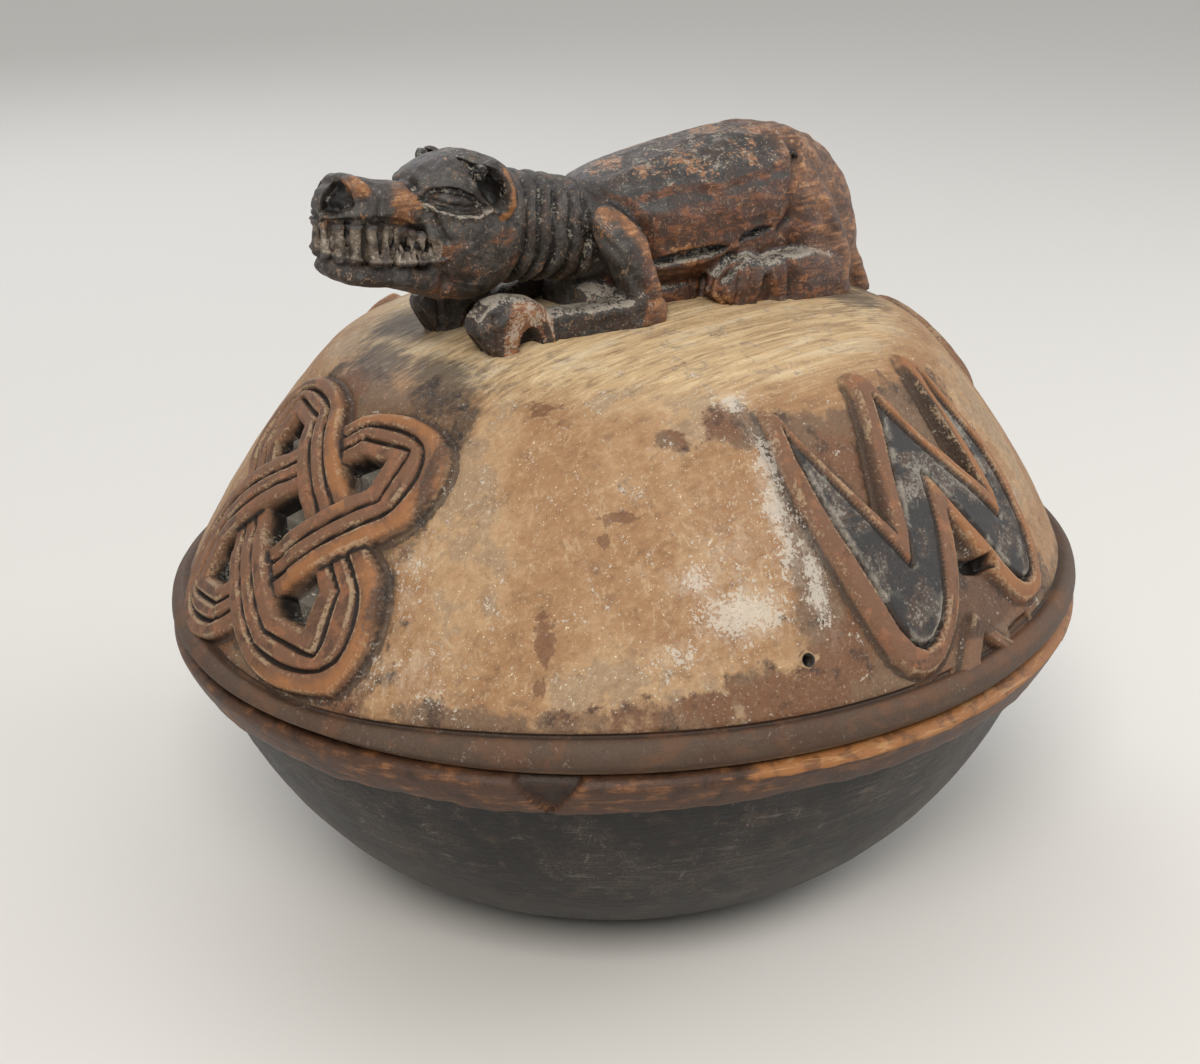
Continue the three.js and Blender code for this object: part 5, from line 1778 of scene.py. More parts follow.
        rear = [(-99.5, 33.4), (-97.4, 29.6), (-95.4, 32.8), (-93, 28.2), (-91.2, 31.6), (-88.8, 27.4)]
        rear += [(-87, 30.6), (-85, 27.6)]
        made.stroke(both, rear, 0.6, 1.7, (-100, -84), 0.1)
        made.stroke("top", [(-88.6, -11), (-87, -6), (-86.6, 0), (-87, 6), (-88.6, 11)], 1.2, 0.5)
        made.stroke(both, [(-63, 56), (-59.6, 48), (-58.6, 40), (-60.8, 35.6)], 1.2, 0.9)
        made.stamp(both, list(self.ear_hollow), 3.8, 1.0, 0.0, True)
        made.scooped(6.0, 0.22, 8)
        made.chatter(7.0, 0.12, 2.0)
        made.chatter(16.0, 0.2, 5.0)
        made.settle()
        return made

    def paint(self, made: Sculpture) -> None:
        """Stores where the wood is black, red-brown, rubbed bare and dusty, and where painted shade darkens the
        hollows, the holes and the far front paw.

        Args:
            made: The skin.
        """
        x, y, z = made.places.T
        up = made.facing[:, 2]
        cavity, wear = made.worn()
        tops = smooth(0.25, 0.75, up)
        mottle = 0.5 + 0.5 * ripple(x, y, z, 17.0, 3.0)
        streak = 0.5 + 0.5 * ripple(x, y, z, 7.0, 8.0)
        back = smooth(36, 43, z) * smooth(-38, -20, x)
        flank = smooth(0.62, 0.3, up) * smooth(-26, -16, x) * (0.62 + 0.3 * mottle)
        cheek = smooth(0.5, 0.0, up) * (x < -52) * smooth(-104, -84, x) * smooth(42, 30, z) * (0.2 + 0.42 * mottle)
        rump = smooth(50, 66, x + 0.3 * z) * (x > 38)
        ridge = np.interp(z, [0.3, 10.8, 18.6, 26.3, 32.6, 37], [-8.6, -9.6, -12.4, -16, -20.5, -27.5])
        arm = np.exp(-(((x - ridge + 3) / 4.4) ** 2)) * smooth(40, 34, z) * (np.abs(y) > 17) * (0.55 + 0.45 * streak)
        near = (y < 0) * (x < -50) * (z < 14) * smooth(0.45, 0.0, -made.facing[:, 0]) * (x > -71)
        side = (np.abs(y) > 20) * (x < -50) * (z < 14)
        # The arched notches in the front paws, the ear hollows and the nostrils are painted near-black as painted
        # shade.
        hole = side * smooth(0.5, -0.5, polygon_distance(x, z, list(self.arch)))
        arch = near * np.exp(-(((np.hypot(x + 58.4, (z + 4) * 0.8) - 8.0) / 4.6) ** 2)) * (1 - hole)
        bridge = np.exp(-(((x + 92) / 5.6) ** 2)) * smooth(35, 38, z) * smooth(51, 45, z) * (0.5 + 0.5 * streak)
        lobe = polygon_distance(x, z, list(self.ear_hollow))
        by_ear = (np.abs(y) > 13) * (x < -56) * (x > -74) * (z > 36)
        ear = by_ear * np.exp(-(((lobe - 2.4) / 1.7) ** 2)) * smooth(-66, -64, x) * smooth(54, 51, z)
        hole = np.maximum(hole, by_ear * smooth(0.4, -0.8, lobe) * (np.abs(y) < 24))
        nostril = [(made.across("front_right", a, b), c) for a, b, c in self.nostril]
        into = polygon_distance(made.across("front_right", x, np.abs(y)), z, nostril)
        hole = np.maximum(hole, (x < -104) * smooth(-0.2, -1.4, into))
        wing = np.exp(-((np.hypot(x + 107.5, z - 50.4) / 3.4) ** 2)) * (np.abs(y) > 5)
        legs = (z < 16) * tops * (np.abs(y) > 6) * (x > -78)
        lip = np.interp(x, [-116, -103, -92, -84], [38.4, 37.7, 34.8, 32.2])
        gum = np.interp(x, *zip(*self.gum))
        mouth = (x < -83.5) * smooth(-0.2, 0.5, z - gum) * smooth(-0.2, 0.8, lip - z)
        rings = (x > -56) * (x < -26) * smooth(12, 34, z) * (np.abs(y) < 20)
        crown = (x < -54) * (x > -84) * smooth(50, 56, z)
        lid = np.interp(x, [-87, -83.6, -77.8, -72.2, -67.4], [43, 40.6, 38.6, 38.2, 39.6])
        eye = np.exp(-(((z - lid) / 0.6) ** 2)) * (np.abs(y) > 8) * (x > -87) * (x < -67)
        # The far front paw gets no red and no bare wood and so stays dark: painted shade.
        far_paw = (y > 0) * (x < -50) * (z < 16)
        face = (x < -52) * (1 - np.maximum(bridge, wing))
        rubbed = [rump * 0.42 * (0.5 + mottle), arm * 0.72, arch * 0.7, bridge * 0.8, ear * 0.95, wing * 0.8]
        reds = [flank, cheek, rump * 0.95, arm * 0.8, arch, bridge, ear, wing, rings * 0.3]
        # Hollows are painted near-black for grime and as painted shade; the holes above are painted shade.
        paint(made.mesh, "cavity", np.maximum(cavity, hole))
        paint(made.mesh, "wear", np.clip(wear * (1 - 0.75 * face) * (1 - 0.6 * rings), 0, 1))
        paint(made.mesh, "red", np.maximum.reduce(reds) * (1 - far_paw))
        paint(made.mesh, "bare", np.maximum.reduce(rubbed) * (1 - far_paw))
        dust = [legs * 0.6, rings * (0.02 + 0.36 * cavity), back * tops * 0.3, crown * 0.3, near * tops * 0.5]
        dust += [0.14 + 0 * x, cavity * 0.35, eye * 0.75, arch * 0.5]
        paint(made.mesh, "dust", np.maximum.reduce(dust))
        paint(made.mesh, "teeth", mouth)
        paint(made.mesh, "rubbed", np.maximum(back, 0.3 * crown))

    def build(self) -> list[bpy.types.Object]:
        """Makes the two skins, paints them and puts them on the lid.

        Returns:
            The body and the head.
        """
        done = []
        for made in (self.body(), self.head()):
            self.paint(made)
            self.place(made.object)
            done.append(made.object)
        return done


# Finishes


def linear(code: str) -> tuple[float, float, float, float]:
    """An sRGB hex colour as the linear values that a shader socket takes.

    Args:
        code: The colour, as # and six hex digits.

    Returns:
        Red, green, blue and a full alpha.
    """
    parts = [int(code[i : i + 2], 16) / 255 for i in (1, 3, 5)]
    r, g, b = (c / 12.92 if c <= 0.04045 else ((c + 0.055) / 1.055) ** 2.4 for c in parts)
    return (r, g, b, 1.0)


def add_node(tree: bpy.types.NodeTree, kind: str, inputs: dict | None = None, **settings: object) -> bpy.types.Node:
    """Adds a node, sets it and links it.

    Args:
        tree: The tree that it goes into.
        kind: The node's type.
        inputs: A value or an output socket for each input, by name or number.
        settings: The node's own settings.

    Returns:
        The node.
    """
    made = tree.nodes.new(kind)
    for key, value in settings.items():
        setattr(made, key, value)
    for key, value in (inputs or {}).items():
        socket = made.inputs[key]
        if isinstance(value, bpy.types.NodeSocket):
            tree.links.new(value, socket)
        else:
            socket.default_value = value
    return made


@dataclass(frozen=True)
class Pattern:
    """A cloudy pattern: the size of its largest spots in millimetres, and how it is broken up, stretched and bent."""

    size: float
    detail: float
    rough: float
    stretch: tuple[float, float, float] | None = None
    turn: float = 0.0
    twist: float = 0.0


@dataclass(frozen=True)
class Held:
    """A sum of masks that is held to 1 at most."""

    names: tuple[str, ...]


# A mask is a name or a number, a sum of weighted names, a held sum, or a mask with the values that it eases between
Mask = str | float | dict[str, float] | tuple | Held


def broken(mask: str, by: dict[str, float], soft: float, spread: float = 2.2, share: float = 1.0) -> Mask:
    """A mask whose edge is broken up by patterns.

    Args:
        mask: The mask's name.
        by: The patterns, each with its weight; together they lie around one half.
        soft: How soft the broken edge is.
        spread: How far the patterns move the edge.
        share: How much of the mask is used.

    Returns:
        The broken mask.
    """
    middle = 0.5 + 0.5 * spread
    moved = {name: weight * spread for name, weight in by.items()}
    return (moved | {mask: share}, middle - soft, middle + soft)


class Layers:
    """Turns patterns, masks and coats of colour into the nodes of one material."""

    def __init__(self, name: str, ground: str, patterns: dict[str, Pattern]) -> None:
        """Starts a material with one plain colour and its patterns.

        Args:
            name: The material's name.
            ground: The plain colour.
            patterns: The patterns by name.
        """
        self.material = bpy.data.materials.new(name)
        self.material.use_nodes = True
        self.tree = self.material.node_tree
        self.tree.nodes.clear()
        self.colour: object = linear(ground)
        self.found: dict[str, bpy.types.NodeSocket | float] = {"one": 1.0}
        places = add_node(self.tree, "ShaderNodeTexCoord").outputs["Object"]
        for key, pattern in patterns.items():
            along = places
            if pattern.stretch:
                way = {"Vector": places, "Scale": pattern.stretch, "Rotation": (0.0, 0.0, math.radians(pattern.turn))}
                along = add_node(self.tree, "ShaderNodeMapping", way).outputs[0]
            inputs = {"Vector": along, "Scale": 1.0 / (pattern.size * MM), "Detail": pattern.detail}
            inputs |= {"Roughness": pattern.rough, "Distortion": pattern.twist}
            self.found[key] = add_node(self.tree, "ShaderNodeTexNoise", inputs).outputs[0]

    def socket(self, mask: Mask) -> bpy.types.NodeSocket | float:
        """Turns a mask into nodes; a name that isn't known yet is a field painted on the piece.

        Args:
            mask: The mask.

        Returns:
            The output that carries it, or the number itself.
        """
        if isinstance(mask, float):
            return mask
        if isinstance(mask, str):
            if mask not in self.found:
                self.found[mask] = add_node(self.tree, "ShaderNodeAttribute", attribute_name=mask).outputs["Fac"]
            return self.found[mask]
        if isinstance(mask, tuple):
            inputs = {"Value": self.socket(mask[0]), "From Min": mask[1], "From Max": mask[2]}
            return add_node(self.tree, "ShaderNodeMapRange", inputs, interpolation_type="SMOOTHSTEP").outputs[0]
        held = isinstance(mask, Held)
        settings = {"operation": "MULTIPLY_ADD", "use_clamp": held}
        total = 0.0
        for name, weight in (dict.fromkeys(mask.names, 1.0) if held else mask).items():
            inputs = {0: self.socket(name), 1: weight, 2: total}
            total = add_node(self.tree, "ShaderNodeMath", inputs, **settings).outputs[0]
        return total

    def coat(self, code: str, *masks: Mask) -> None:
        """Lays a colour over what is there.

        Args:
            code: The colour.
            masks: What is multiplied together to say how much of it there is.
        """
        amount = self.socket(masks[0])
        for mask in masks[1:]:
            inputs = {0: amount, 1: self.socket(mask)}
            amount = add_node(self.tree, "ShaderNodeMath", inputs, operation="MULTIPLY").outputs[0]
        inputs = {0: amount, 6: self.colour, 7: linear(code)}
        self.colour = add_node(self.tree, "ShaderNodeMix", inputs, data_type="RGBA", clamp_factor=True).outputs[2]


@dataclass(frozen=True)
class Finish:
    """What the finishes share: wood under coats of colour, whose roughness and fine height follow its patterns."""

    name: str = ""
    ground: str = "#000000"
    depth: float = 0.7
    specular: float = 0.5
    ior: float = 1.46

    def patterns(self) -> dict[str, Pattern]:
        """The patterns by name."""
        raise NotImplementedError

    def masks(self) -> dict[str, Mask]:
        """The masks by name, with the roughness and the height among them."""
        raise NotImplementedError

    def coats(self) -> list[tuple]:
        """Each coat's colour and masks, from the wood outward."""
        raise NotImplementedError

    def make(self) -> bpy.types.Material:
        """Builds the material.

        Returns:
            The material.
        """
        layers = Layers(self.name, self.ground, self.patterns())
        for name, mask in self.masks().items():
            layers.found[name] = layers.socket(mask)
        for code, *masks in self.coats():
            layers.coat(code, *masks)
        bumps = {"Height": layers.found["height"], "Distance": self.depth * MM, "Strength": 1.0}
        inputs = {
            "Base Color": layers.colour,
            "Roughness": layers.found["roughness"],
            "Normal": add_node(layers.tree, "ShaderNodeBump", bumps).outputs[0],
            "IOR": self.ior,
            "Specular IOR Level": self.specular,
        }
        shader = add_node(layers.tree, "ShaderNodeBsdfPrincipled", inputs)
        add_node(layers.tree, "ShaderNodeOutputMaterial", {"Surface": shader.outputs[0]})
        return layers.material


@dataclass(frozen=True)
class WornTanWood(Finish):
    """Carved softwood handled for years: bare tan where hands polish it, smoke-brown round the carving."""

    name: str = "carved_tan_wood_smoked_and_handled"
    ground: str = "#987350"
    depth: float = 0.75
    specular: float = 0.36
    pale: str = "#B89974"
    rust: str = "#7E583C"
    film: str = "#85725F"
    umber: str = "#5B4433"
    straw: str = "#CBB087"
    smoked: str = "#65503F"
    # Dark smoke brown, also laid on the rim band as painted shade.
    smoke_and_shade_dark: str = "#3B2E27"
    smoked_red: str = "#6E4328"
    ribbon: str = "#71503B"
    ribbon_dark: str = "#493429"
    ribbon_worn: str = "#9A6840"
    inlay: str = "#2A2B2D"
    pit: str = "#120F0D"
    chalk: str = "#D3CDC2"
    dust: str = "#B3A692"
    # Dark grey-brown of the dark patches: soot, and painted shadow.
    soot: str = "#262120"
    inside: str = "#8A6A48"

    def patterns(self) -> dict[str, Pattern]:
        """The sizes of the patterns.

        Returns:
            The patterns by name.
        """
        return {
            # Grain about 1.5 mm wide and 30 mm long, along the log that the lid was cut from: long soft streaks
            "grain": Pattern(1.6, 6, 0.6, (0.05, 1.0, 1.0), 6.0, 0.2),
            # Scars of the adze and of handling, 1 mm wide, slanting across the flank
            "scars": Pattern(1.5, 4, 0.7, (0.5, 0.5, 0.16), 30.0, 0.8),
            # Weathered swaths 9 mm wide on the crown
            "swath": Pattern(9.0, 6, 0.66, (0.16, 1.0, 1.0), 10.0, 0.6),
            # Pores of half a millimetre, drawn at 1 mm so that they show
            "fine": Pattern(1.0, 4, 0.7),
            "speck": Pattern(1.1, 2, 0.8),
            # Blotches of smoke, clay and handling, 6 to 36 mm wide
            "medium": Pattern(6.0, 7, 0.66),
            "flake": Pattern(9.0, 9, 0.74, twist=0.9),
            "patch": Pattern(15.0, 9, 0.68, twist=0.5),
            "broad": Pattern(36.0, 5, 0.6),
        }

    def masks(self) -> dict[str, Mask]:
        """Where the coats lie.

        Returns:
            The masks by name.
        """
        return {
            "mixed": {"patch": 0.6, "medium": 0.4},
            "grit": {"fine": 0.5, "flake": 0.5},
            "smoked": broken("patina", {"mixed": 1.0}, 0.12),
            # Dirt and painted shade in the hollows of the carving.
            "grime_and_shade": broken("cavity", {"medium": 1.0}, 0.4, 0.5),
            "lodged": Held(("dark", "stud", "inlay")),
            "carved": Held(("ribbon", "inlay", "dark")),
            "plain": {"carved": -0.85, "one": 1.0},
            # Dark patches of soot and painted shadow, broken by grain.
            "broken_dark_patches": broken("soot", {"patch": 0.4, "grain": 0.6}, 0.4, 2.4),
            "roughness": {"patch": 0.35, "fine": 0.25, "one": 0.28},
            "height": {"grain": 0.35, "medium": 0.55, "fine": 0.4, "scars": 0.25},
        }

    def coats(self) -> list[tuple]:
        """The coats from the bare wood outward."""
        return self.bare_wood() + self.smoke() + self.carving() + self.deposits()

    def bare_wood(self) -> list[tuple]:
        """Soft pale and rusty patches, a thin grey film that has flaked off in places, and long grain.

        Returns:
            The coats.
        """
        return [
            (self.pale, ("broad", 0.42, 0.62), 0.75),
            (self.rust, ("patch", 0.52, 0.66), 0.32),
            (self.pale, ("medium", 0.52, 0.64), 0.35),
            (self.umber, ("medium", 0.46, 0.34), 0.3),
            (self.film, ({"flake": 0.35, "broad": 0.65}, 0.53, 0.57), 0.5),
            (self.straw, "straw", 0.75),
            ("#D2C3A8", "straw", ("swath", 0.52, 0.6), 0.45),
            ("#8A6E50", "straw", ("swath", 0.47, 0.4), 0.42),
            ("#7F7061", "straw", ("flake", 0.54, 0.6), 0.5),
            (self.umber, ("grain", 0.52, 0.66), {"straw": 0.28, "one": 0.16}),
            ("#E6CFA6", ("grain", 0.48, 0.36), {"straw": 0.35, "one": 0.1}),
            (self.umber, ("scars", 0.6, 0.66), 0.26),
            ("#D8C3A0", ("scars", 0.41, 0.36), 0.22),
        ]

    def smoke(self) -> list[tuple]:
        """Brown smoke and oil that has gathered round the carving, rubbed through here and there.

        Returns:
            The coats.
        """
        return [
            (self.smoked, "smoked", 0.84),
            (self.smoked_red, "smoked", ("broad", 0.5, 0.58), 0.6),
            (self.smoke_and_shade_dark, "smoked", ("mixed", 0.52, 0.62), 0.8),
            ("#8E7762", "smoked", ("fine", 0.56, 0.66), 0.75),
            (self.pit, "smoked", ("fine", 0.4, 0.32), 0.6),
        ]

    def carving(self) -> list[tuple]:
        """Brown ribbons with rubbed edges and pale edge lines of dust and painted highlight, near-black grooves and
        gaps that are also painted shade, dirt and painted shade in the hollows, and the blue-black sunk panel.

        Returns:
            The coats.
        """
        return [
            (self.ribbon, "ribbon", 0.92),
            (self.ribbon_dark, "ribbon", ("patch", 0.5, 0.6), 0.7),
            ("#916145", "ribbon", ("medium", 0.52, 0.62), 0.6),
            (self.ribbon_worn, broken("wear", {"patch": 0.5, "medium": 0.5}, 0.3), 0.78),
            # Dark brown in the hollows, near-black in the ribbons' hollows: dirt and painted shade.
            ("#3D3027", "grime_and_shade", 0.8),
            ("#1A1310", "grime_and_shade", "ribbon", 0.92),
            # A pale line along the ribbons' thin upper edges: dust, and a painted highlight.
            ("#B39A7B", ("edge", 0.35, 0.9), ({"fine": 0.4, "patch": 0.6}, 0.49, 0.56), "ribbon", 0.6),
            # Near-black in the knot's gaps and the zigzag's grooves and slots: dirt lodged there, and painted shade of
            # their depth.
            (self.pit, ("dark", 0.1, 0.9), 0.96),
            ("#5B5750", "stud", 0.95),
            (self.inlay, "inlay", 0.96),
            ("#4C3A30", "inlay", ("patch", 0.5, 0.58), 0.8),
            ("#56554F", "inlay", ({"medium": 0.5, "patch": 0.5}, 0.52, 0.6), 0.7),
            ("#9A958C", "lodged", ({"fine": 0.45, "patch": 0.55}, 0.54, 0.6), 0.6),
            # Pale along the sunk panel's thin edges: dust, and a painted highlight.
            ("#A8A296", "inlay", "edge", ("patch", 0.46, 0.56), 0.5),
        ]

    def deposits(self) -> list[tuple]:
        """White clay worked into the surface, the rim band darkened by smoke and by painted shade, dark patches of soot
        and painted shadow, grey dust in the pores, and the untouched wood inside.

        Returns:
            The coats.
        """
        clay = broken("kaolin", {"grit": 0.7, "scars": 0.3}, 0.08, 6.0, 0.7)
        stain = broken("rust", {"medium": 0.5, "flake": 0.5}, 0.06, 4.0, 0.95)
        off_rim = ({"rim": -share, "one": 1.0} for share in (0.8, 0.9, 0.95))
        no_clay, no_specks, no_dust = off_rim
        return [
            # The whole rim band is painted dark brown: smoke-blackening, and painted shade for the band's
            # downward-facing lower part.
            (self.smoke_and_shade_dark, "rim", 0.75),
            ("#6E4C34", "rim", ("patch", 0.5, 0.6), 0.45),
            (self.chalk, clay, "plain", no_clay, 0.58),
            (self.chalk, "kaolin", "plain", ("scars", 0.56, 0.42), 0.35),
            ("#E3D6BC", ("speck", 0.66, 0.71), {"smoked": -0.6, "one": 0.8}, {"carved": -0.8, "one": 1.0}, no_specks),
            (self.dust, ("grit", 0.55, 0.6), {"kaolin": 0.8, "one": 0.1}, "plain", no_dust),
            ("#55301F", stain, 0.6),
            # Dark patches: soot, and painted shadow below the animal's forepaws.
            (self.soot, "broken_dark_patches", 0.72),
            ("#6F6A66", "broken_dark_patches", ("fine", 0.54, 0.64), 0.6),
            (self.inside, "raw"),
        ]


@dataclass(frozen=True)
class BlackenedWood(Finish):
    """Wood blackened with soot and oil: black-brown with grey dust in long shallow scratches, brown at the lip."""

    name: str = "blackened_wood_with_worn_lip"
    ground: str = "#191615"
    depth: float = 0.6
    specular: float = 0.42
    black_warm: str = "#2B211B"
    dust: str = "#77736C"
    lip: str = "#4A3122"
    lip_light: str = "#7A5132"
    lip_worn: str = "#A06B3D"
    inside: str = "#5D4330"

    def patterns(self) -> dict[str, Pattern]:
        """The sizes of the patterns.

        Returns:
            The patterns by name.
        """
        return {
            # Scratches about 1 mm high that run level round the bowl, and others 1 mm wide across them
            "grain": Pattern(1.5, 6, 0.66, (0.08, 0.12, 1.0), 6.0, 0.6),
            "cross": Pattern(1.2, 5, 0.7, (1.0, 0.3, 0.14), 40.0, 0.8),
            # Pores of about 1 mm, and clouds of soot 7 and 42 mm wide
            "fine": Pattern(0.9, 4, 0.68),
            "medium": Pattern(7.0, 7, 0.66),
            "broad": Pattern(42.0, 5, 0.6),
        }

    def masks(self) -> dict[str, Mask]:
        """Where the coats lie.

        Returns:
            The masks by name.
        """
        return {
            "cloud": ({"medium": 0.5, "broad": 0.5}, 0.44, 0.58),
            "worn": broken("wear", {"medium": 0.6, "grain": 0.4}, 0.25),
            "roughness": {"medium": 0.35, "one": 0.3},
            "height": {"grain": 0.6, "fine": 0.3, "cross": 0.3, "medium": 0.4},
        }

    def coats(self) -> list[tuple]:
        """Warm and grey clouds, dusty scratches, the worn lip, dirt and painted shade under the lip and in the V, and
        the plain brown inside.

        Returns:
            The coats.
        """
        return [
            (self.black_warm, ("broad", 0.46, 0.58), 0.9),
            ("#45352A", ("medium", 0.53, 0.62), 0.5),
            ("#4B4946", "cloud", ("fine", 0.48, 0.58), 0.5),
            (self.dust, ("grain", 0.57, 0.65), {"cloud": 0.38, "one": 0.06}),
            (self.dust, ("cross", 0.61, 0.66), {"cloud": 0.4, "one": 0.08}),
            ("#A39D92", ("fine", 0.62, 0.7), {"cloud": 0.45, "one": 0.05}),
            ("#0F0D0C", ("grain", 0.42, 0.34), 0.7),
            (self.lip, "lip", 0.92),
            (self.lip_light, "lip", ({"grain": 0.5, "medium": 0.5}, 0.5, 0.6), 0.75),
            ("#1C1411", "lip", ("medium", 0.46, 0.36), 0.5),
            (self.lip_worn, "worn", 0.8),
            ("#5E3E28", "worn", ("medium", 0.5, 0.4), 0.7),
            ("#C09A6C", "worn", ("grain", 0.54, 0.62), 0.4),
            # Near-black under the lip's overhang and in the V: dirt and painted shade.
            ("#0F0C0B", "cavity"),
            (self.inside, "raw", 0.9),
        ]


@dataclass(frozen=True)
class DarkCarvedWood(Finish):
    """Knife-carved wood gone black-brown with smoke and oil, red-brown on its sides and rubbed to orange at edges."""

    name: str = "knife_carved_dark_wood"
    ground: str = "#221D1B"
    slate: str = "#4A4744"
    red: str = "#452819"
    red_light: str = "#7B4C2D"
    bare: str = "#9E6A40"
    # Near-black for grime and painted shade in hollows, holes and between the teeth.
    grime: str = "#0D0A09"
    dust: str = "#A29A8D"

    def patterns(self) -> dict[str, Pattern]:
        """The sizes of the patterns.

        Returns:
            The patterns by name.
        """
        return {
            # Knife grain about 2 mm wide and 15 mm long, along the animal
            "grain": Pattern(1.8, 5, 0.64, (0.14, 1.0, 1.0), -6.0, 0.5),
            # Pores of about 1 mm, nicks of 3 mm, and clouds of smoke 5 and 17 mm wide
            "fine": Pattern(0.85, 4, 0.7),
            "scars": Pattern(3.0, 7, 0.74, twist=1.4),
            "medium": Pattern(4.6, 7, 0.68),
            "broad": Pattern(17.0, 7, 0.64),
        }

    def masks(self) -> dict[str, Mask]:
        """Where the coats lie.

        Returns:
            The masks by name.
        """
        return {
            "reddened": broken("red", {"broad": 0.6, "medium": 0.4}, 0.16),
            "bared": broken("bare", {"broad": 0.5, "grain": 0.5}, 0.34),
            "worn": broken("wear", {"medium": 0.6, "broad": 0.4}, 0.2),
            "chipped": broken("rubbed", {"scars": 0.5, "broad": 0.5}, 0.05, 5.0, 0.34),
            "speckle": {"fine": 0.4, "medium": 0.35, "scars": 0.25},
            "roughness": {"medium": 0.42, "one": 0.22},
            "height": {"grain": 0.4, "medium": 0.5, "fine": 0.35, "scars": 0.3},
        }

    def coats(self) -> list[tuple]:
        """Slate and brown clouds, red sides, rubbed edges, chips, grime and painted shade in the hollows and holes,
        dust, and the teeth with painted highlights on their edges and painted shade between them.

        Returns:
            The coats.
        """
        return [
            (self.slate, ({"medium": 0.5, "broad": 0.5}, 0.46, 0.56), 0.75),
            ("#3A2A22", ("broad", 0.48, 0.4), 0.7),
            (self.red, "reddened", 0.9),
            (self.red_light, "reddened", ({"grain": 0.5, "medium": 0.5}, 0.5, 0.58), 0.75),
            (self.ground, "reddened", ("medium", 0.47, 0.38), 0.6),
            (self.bare, "bared", 0.7),
            ("#BE946A", "bared", ({"grain": 0.5, "fine": 0.5}, 0.5, 0.6), 0.6),
            ("#54331F", "bared", ("medium", 0.5, 0.4), 0.7),
            ("#7D5334", "worn", 0.7),
            ("#C49A6C", "worn", ("fine", 0.5, 0.62), 0.7),
            ("#8B7058", ("scars", 0.585, 0.61), 0.6),
            ("#94633D", "chipped", 0.8),
            ("#C7A883", "chipped", ("fine", 0.52, 0.6), 0.6),
            ("#8A7D70", ("fine", 0.6, 0.66), 0.6),
            # Grime and painted shade in the hollows and holes.
            (self.grime, broken("cavity", {"medium": 1.0}, 0.3, 1.3), 0.92),
            (self.dust, broken("dust", {"speckle": 1.0}, 0.08, 4.0), 0.72),
            ("#5F5346", "teeth", 0.85),
            ("#A3978A", "teeth", ("speckle", 0.51, 0.58), 0.75),
            # Pale on the teeth's proud edges: wear, and a painted highlight.
            ("#C9BEAE", "teeth", "wear", 0.6),
            ("#2A211B", "teeth", ("medium", 0.5, 0.42), 0.85),
            # Grime and painted shade between the teeth.
            (self.grime, "teeth", ("cavity", 0.25, 0.7)),
        ]


# Floor, light and camera


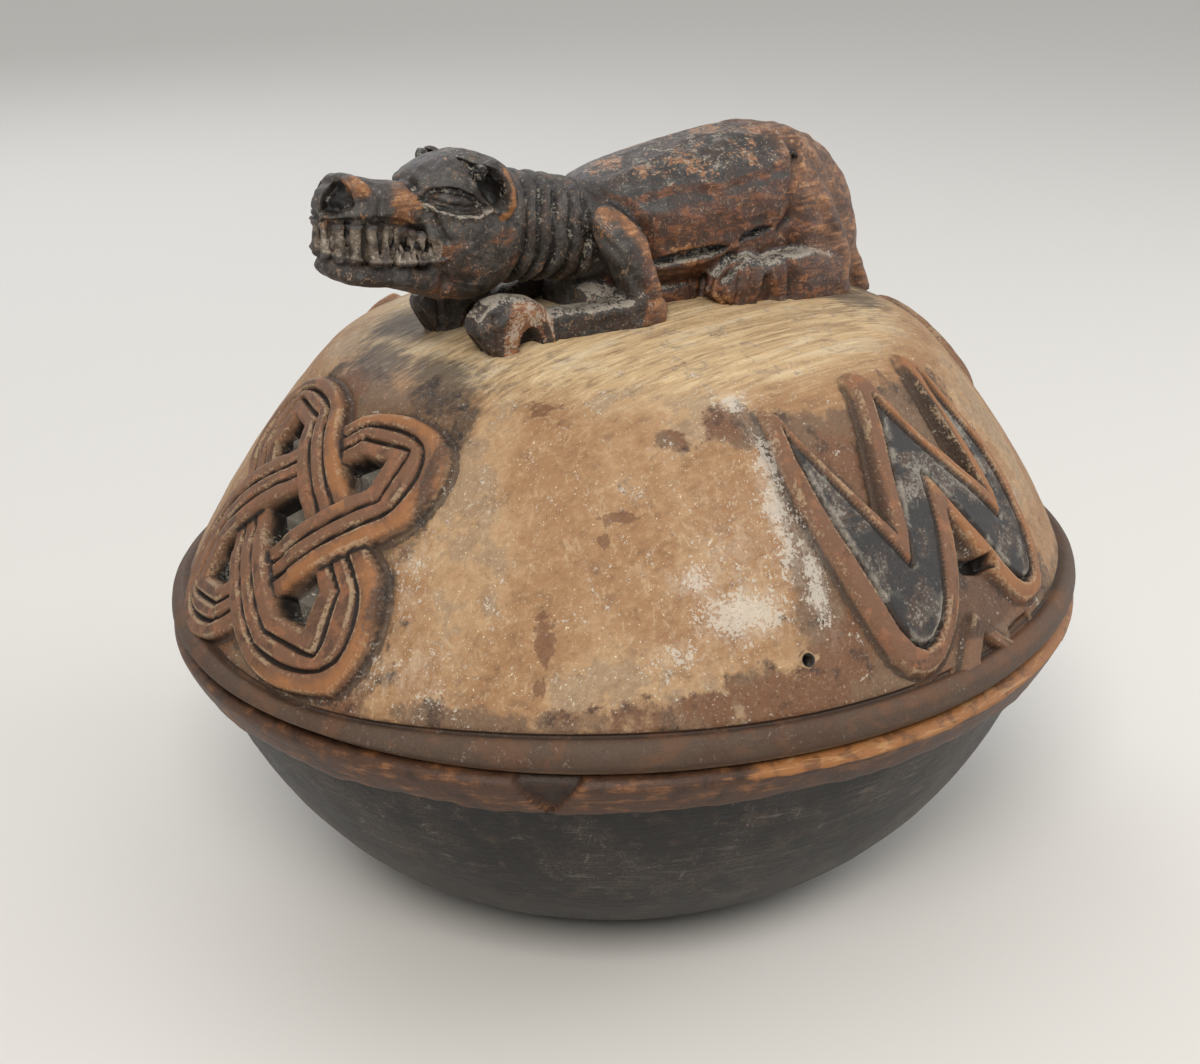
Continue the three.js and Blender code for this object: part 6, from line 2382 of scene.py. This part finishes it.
@dataclass
class Studio:
    """A pale floor, soft lamps and the camera."""

    target: tuple[float, float, float] = (-8.15, 7.34, 111.3)
    azimuth: float = -42.0
    elevation: float = 21.9
    distance: float = 675.1
    lens: float = 57.6
    sensor: float = 36.0
    floor_half: float = 4.0
    floor_gap: float = 0.0001

    def floor(self) -> None:
        """Lays the floor under the box."""
        bm = bmesh.new()
        bmesh.ops.create_grid(bm, x_segments=1, y_segments=1, size=self.floor_half)
        bmesh.ops.translate(bm, vec=(0, 0, -self.floor_gap), verts=bm.verts[:])
        made = piece("floor", bm)
        paper = bpy.data.materials.new("matt_backdrop_paper")
        paper.use_nodes = True
        shader = paper.node_tree.nodes["Principled BSDF"]
        shader.inputs["Base Color"].default_value = linear("#D9D7D3")
        shader.inputs["Roughness"].default_value = 0.9
        made.data.materials.append(paper)

    def lamp(self, name: str, place: tuple[float, float, float], power: float, size: float, tint: str) -> None:
        """Adds a square soft lamp that faces the box.

        Args:
            name: The lamp's name.
            place: Where it stands, in metres.
            power: Its power in watts.
            size: Its side in metres.
            tint: Its colour.
        """
        light = bpy.data.lights.new(name, "AREA")
        light.energy, light.size, light.color = power, size, linear(tint)[:3]
        made = bpy.data.objects.new(name, light)
        made.location = place
        aim = Vector((0.0, 0.0, 0.12)) - Vector(place)
        made.rotation_euler = aim.to_track_quat("-Z", "Y").to_euler()
        bpy.context.scene.collection.objects.link(made)

    def lights(self) -> None:
        """Sets the lamps and a pale surrounding."""
        self.lamp("key_lamp", (-0.95, -0.85, 1.25), 20.0, 0.75, "#FFFAF2")
        self.lamp("side_lamp", (1.15, -0.75, 0.75), 8.0, 0.9, "#FFFFFF")
        self.lamp("back_lamp", (0.3, 1.3, 1.1), 6.0, 1.0, "#F6F9FF")
        ceiling = bpy.data.lights.new("ceiling_lamp", "SUN")
        ceiling.energy, ceiling.angle = 0.95, 1.6
        made = bpy.data.objects.new("ceiling_lamp", ceiling)
        made.location = (0.0, 0.0, 2.0)
        bpy.context.scene.collection.objects.link(made)
        world = bpy.data.worlds.new("studio")
        world.use_nodes = True
        tree = world.node_tree
        tree.nodes.clear()
        rays = add_node(tree, "ShaderNodeLightPath").outputs
        both_rays = {0: rays["Is Camera Ray"], 1: rays["Is Glossy Ray"]}
        seen = add_node(tree, "ShaderNodeMath", both_rays, operation="MAXIMUM")
        soft = {"Color": linear("#E6E5E3"), "Strength": 0.33}
        pale = {"Color": linear("#DEDCD9"), "Strength": 0.8}
        dim, bright = (add_node(tree, "ShaderNodeBackground", inputs).outputs[0] for inputs in (soft, pale))
        both = add_node(tree, "ShaderNodeMixShader", {0: seen.outputs[0], 1: dim, 2: bright}).outputs[0]
        add_node(tree, "ShaderNodeOutputWorld", {"Surface": both})
        bpy.context.scene.world = world

    def camera(self) -> None:
        """Places the camera at the photograph's angle."""
        a, e = math.radians(self.azimuth), math.radians(self.elevation)
        back = Vector((math.sin(a) * math.cos(e), -math.cos(a) * math.cos(e), math.sin(e)))
        target = Vector(self.target) * MM
        lens = bpy.data.cameras.new("camera")
        lens.lens, lens.sensor_width, lens.sensor_fit = self.lens, self.sensor, "HORIZONTAL"
        lens.clip_start, lens.clip_end = 0.01, 20.0
        made = bpy.data.objects.new("camera", lens)
        made.location = target + back * self.distance * MM
        made.rotation_euler = (-back).to_track_quat("-Z", "Y").to_euler()
        bpy.context.scene.collection.objects.link(made)
        bpy.context.scene.camera = made

    def build(self) -> None:
        """Sets up the whole stage."""
        self.floor()
        self.lights()
        self.camera()
        bpy.context.scene.view_settings.view_transform = "Standard"


# The whole box


def dress(made: bpy.types.Object, material: bpy.types.Material, body: Body, slot: Slot, *nodes: str) -> None:
    """Gives a piece its finish, its body and the part of the frame that it stands for.

    Args:
        made: The piece.
        material: Its finish.
        body: The body that it moves with.
        slot: The record's material slot; it is not used.
        nodes: The frame's nodes that it replaces.
    """
    made.data.materials.clear()
    made.data.materials.append(material)
    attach(made, body.value)
    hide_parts(*nodes)
    LOG.info("%s: %d faces, rides on %s", made.name, len(made.data.polygons), body.value)


def main() -> None:
    """Builds the box and its stage, and logs how many faces each piece came out with."""
    logging.basicConfig(level=logging.INFO, format="%(name)s %(message)s")
    Studio().build()
    form = Form()
    dome = Dome(form)
    tan = WornTanWood().make()
    black = BlackenedWood().make()
    stains = Stains(dome)
    reliefs = [Knot("knot_front", 175.5), Knot("knot_back", 355.5)]
    reliefs += [Zigzag("zigzag_front", 278.0), Zigzag("zigzag_back", 98.0)]
    shell = LidShell(dome, reliefs, stains)
    dress(shell.build(), tan, Body.LID, Slot.WORN_TAN, "lid")
    dress(shell.lining(), black, Body.LID, Slot.BLACKENED, "lid")
    for relief in reliefs:
        made = relief.build(dome)
        for name, values in stains.masks(coordinates(made.data) / MM).items():
            paint(made.data, name, values)
        dress(made, tan, Body.LID, Slot.WORN_TAN, "lid")
    dark = DarkCarvedWood().make()
    for made in Animal(form).build():
        dress(made, dark, Body.LID, Slot.BLACKENED, "lid")
    dress(Bowl(form).build(), black, Body.BOWL, Slot.BLACKENED, "bowl")


if __name__ == "__main__":
    main()
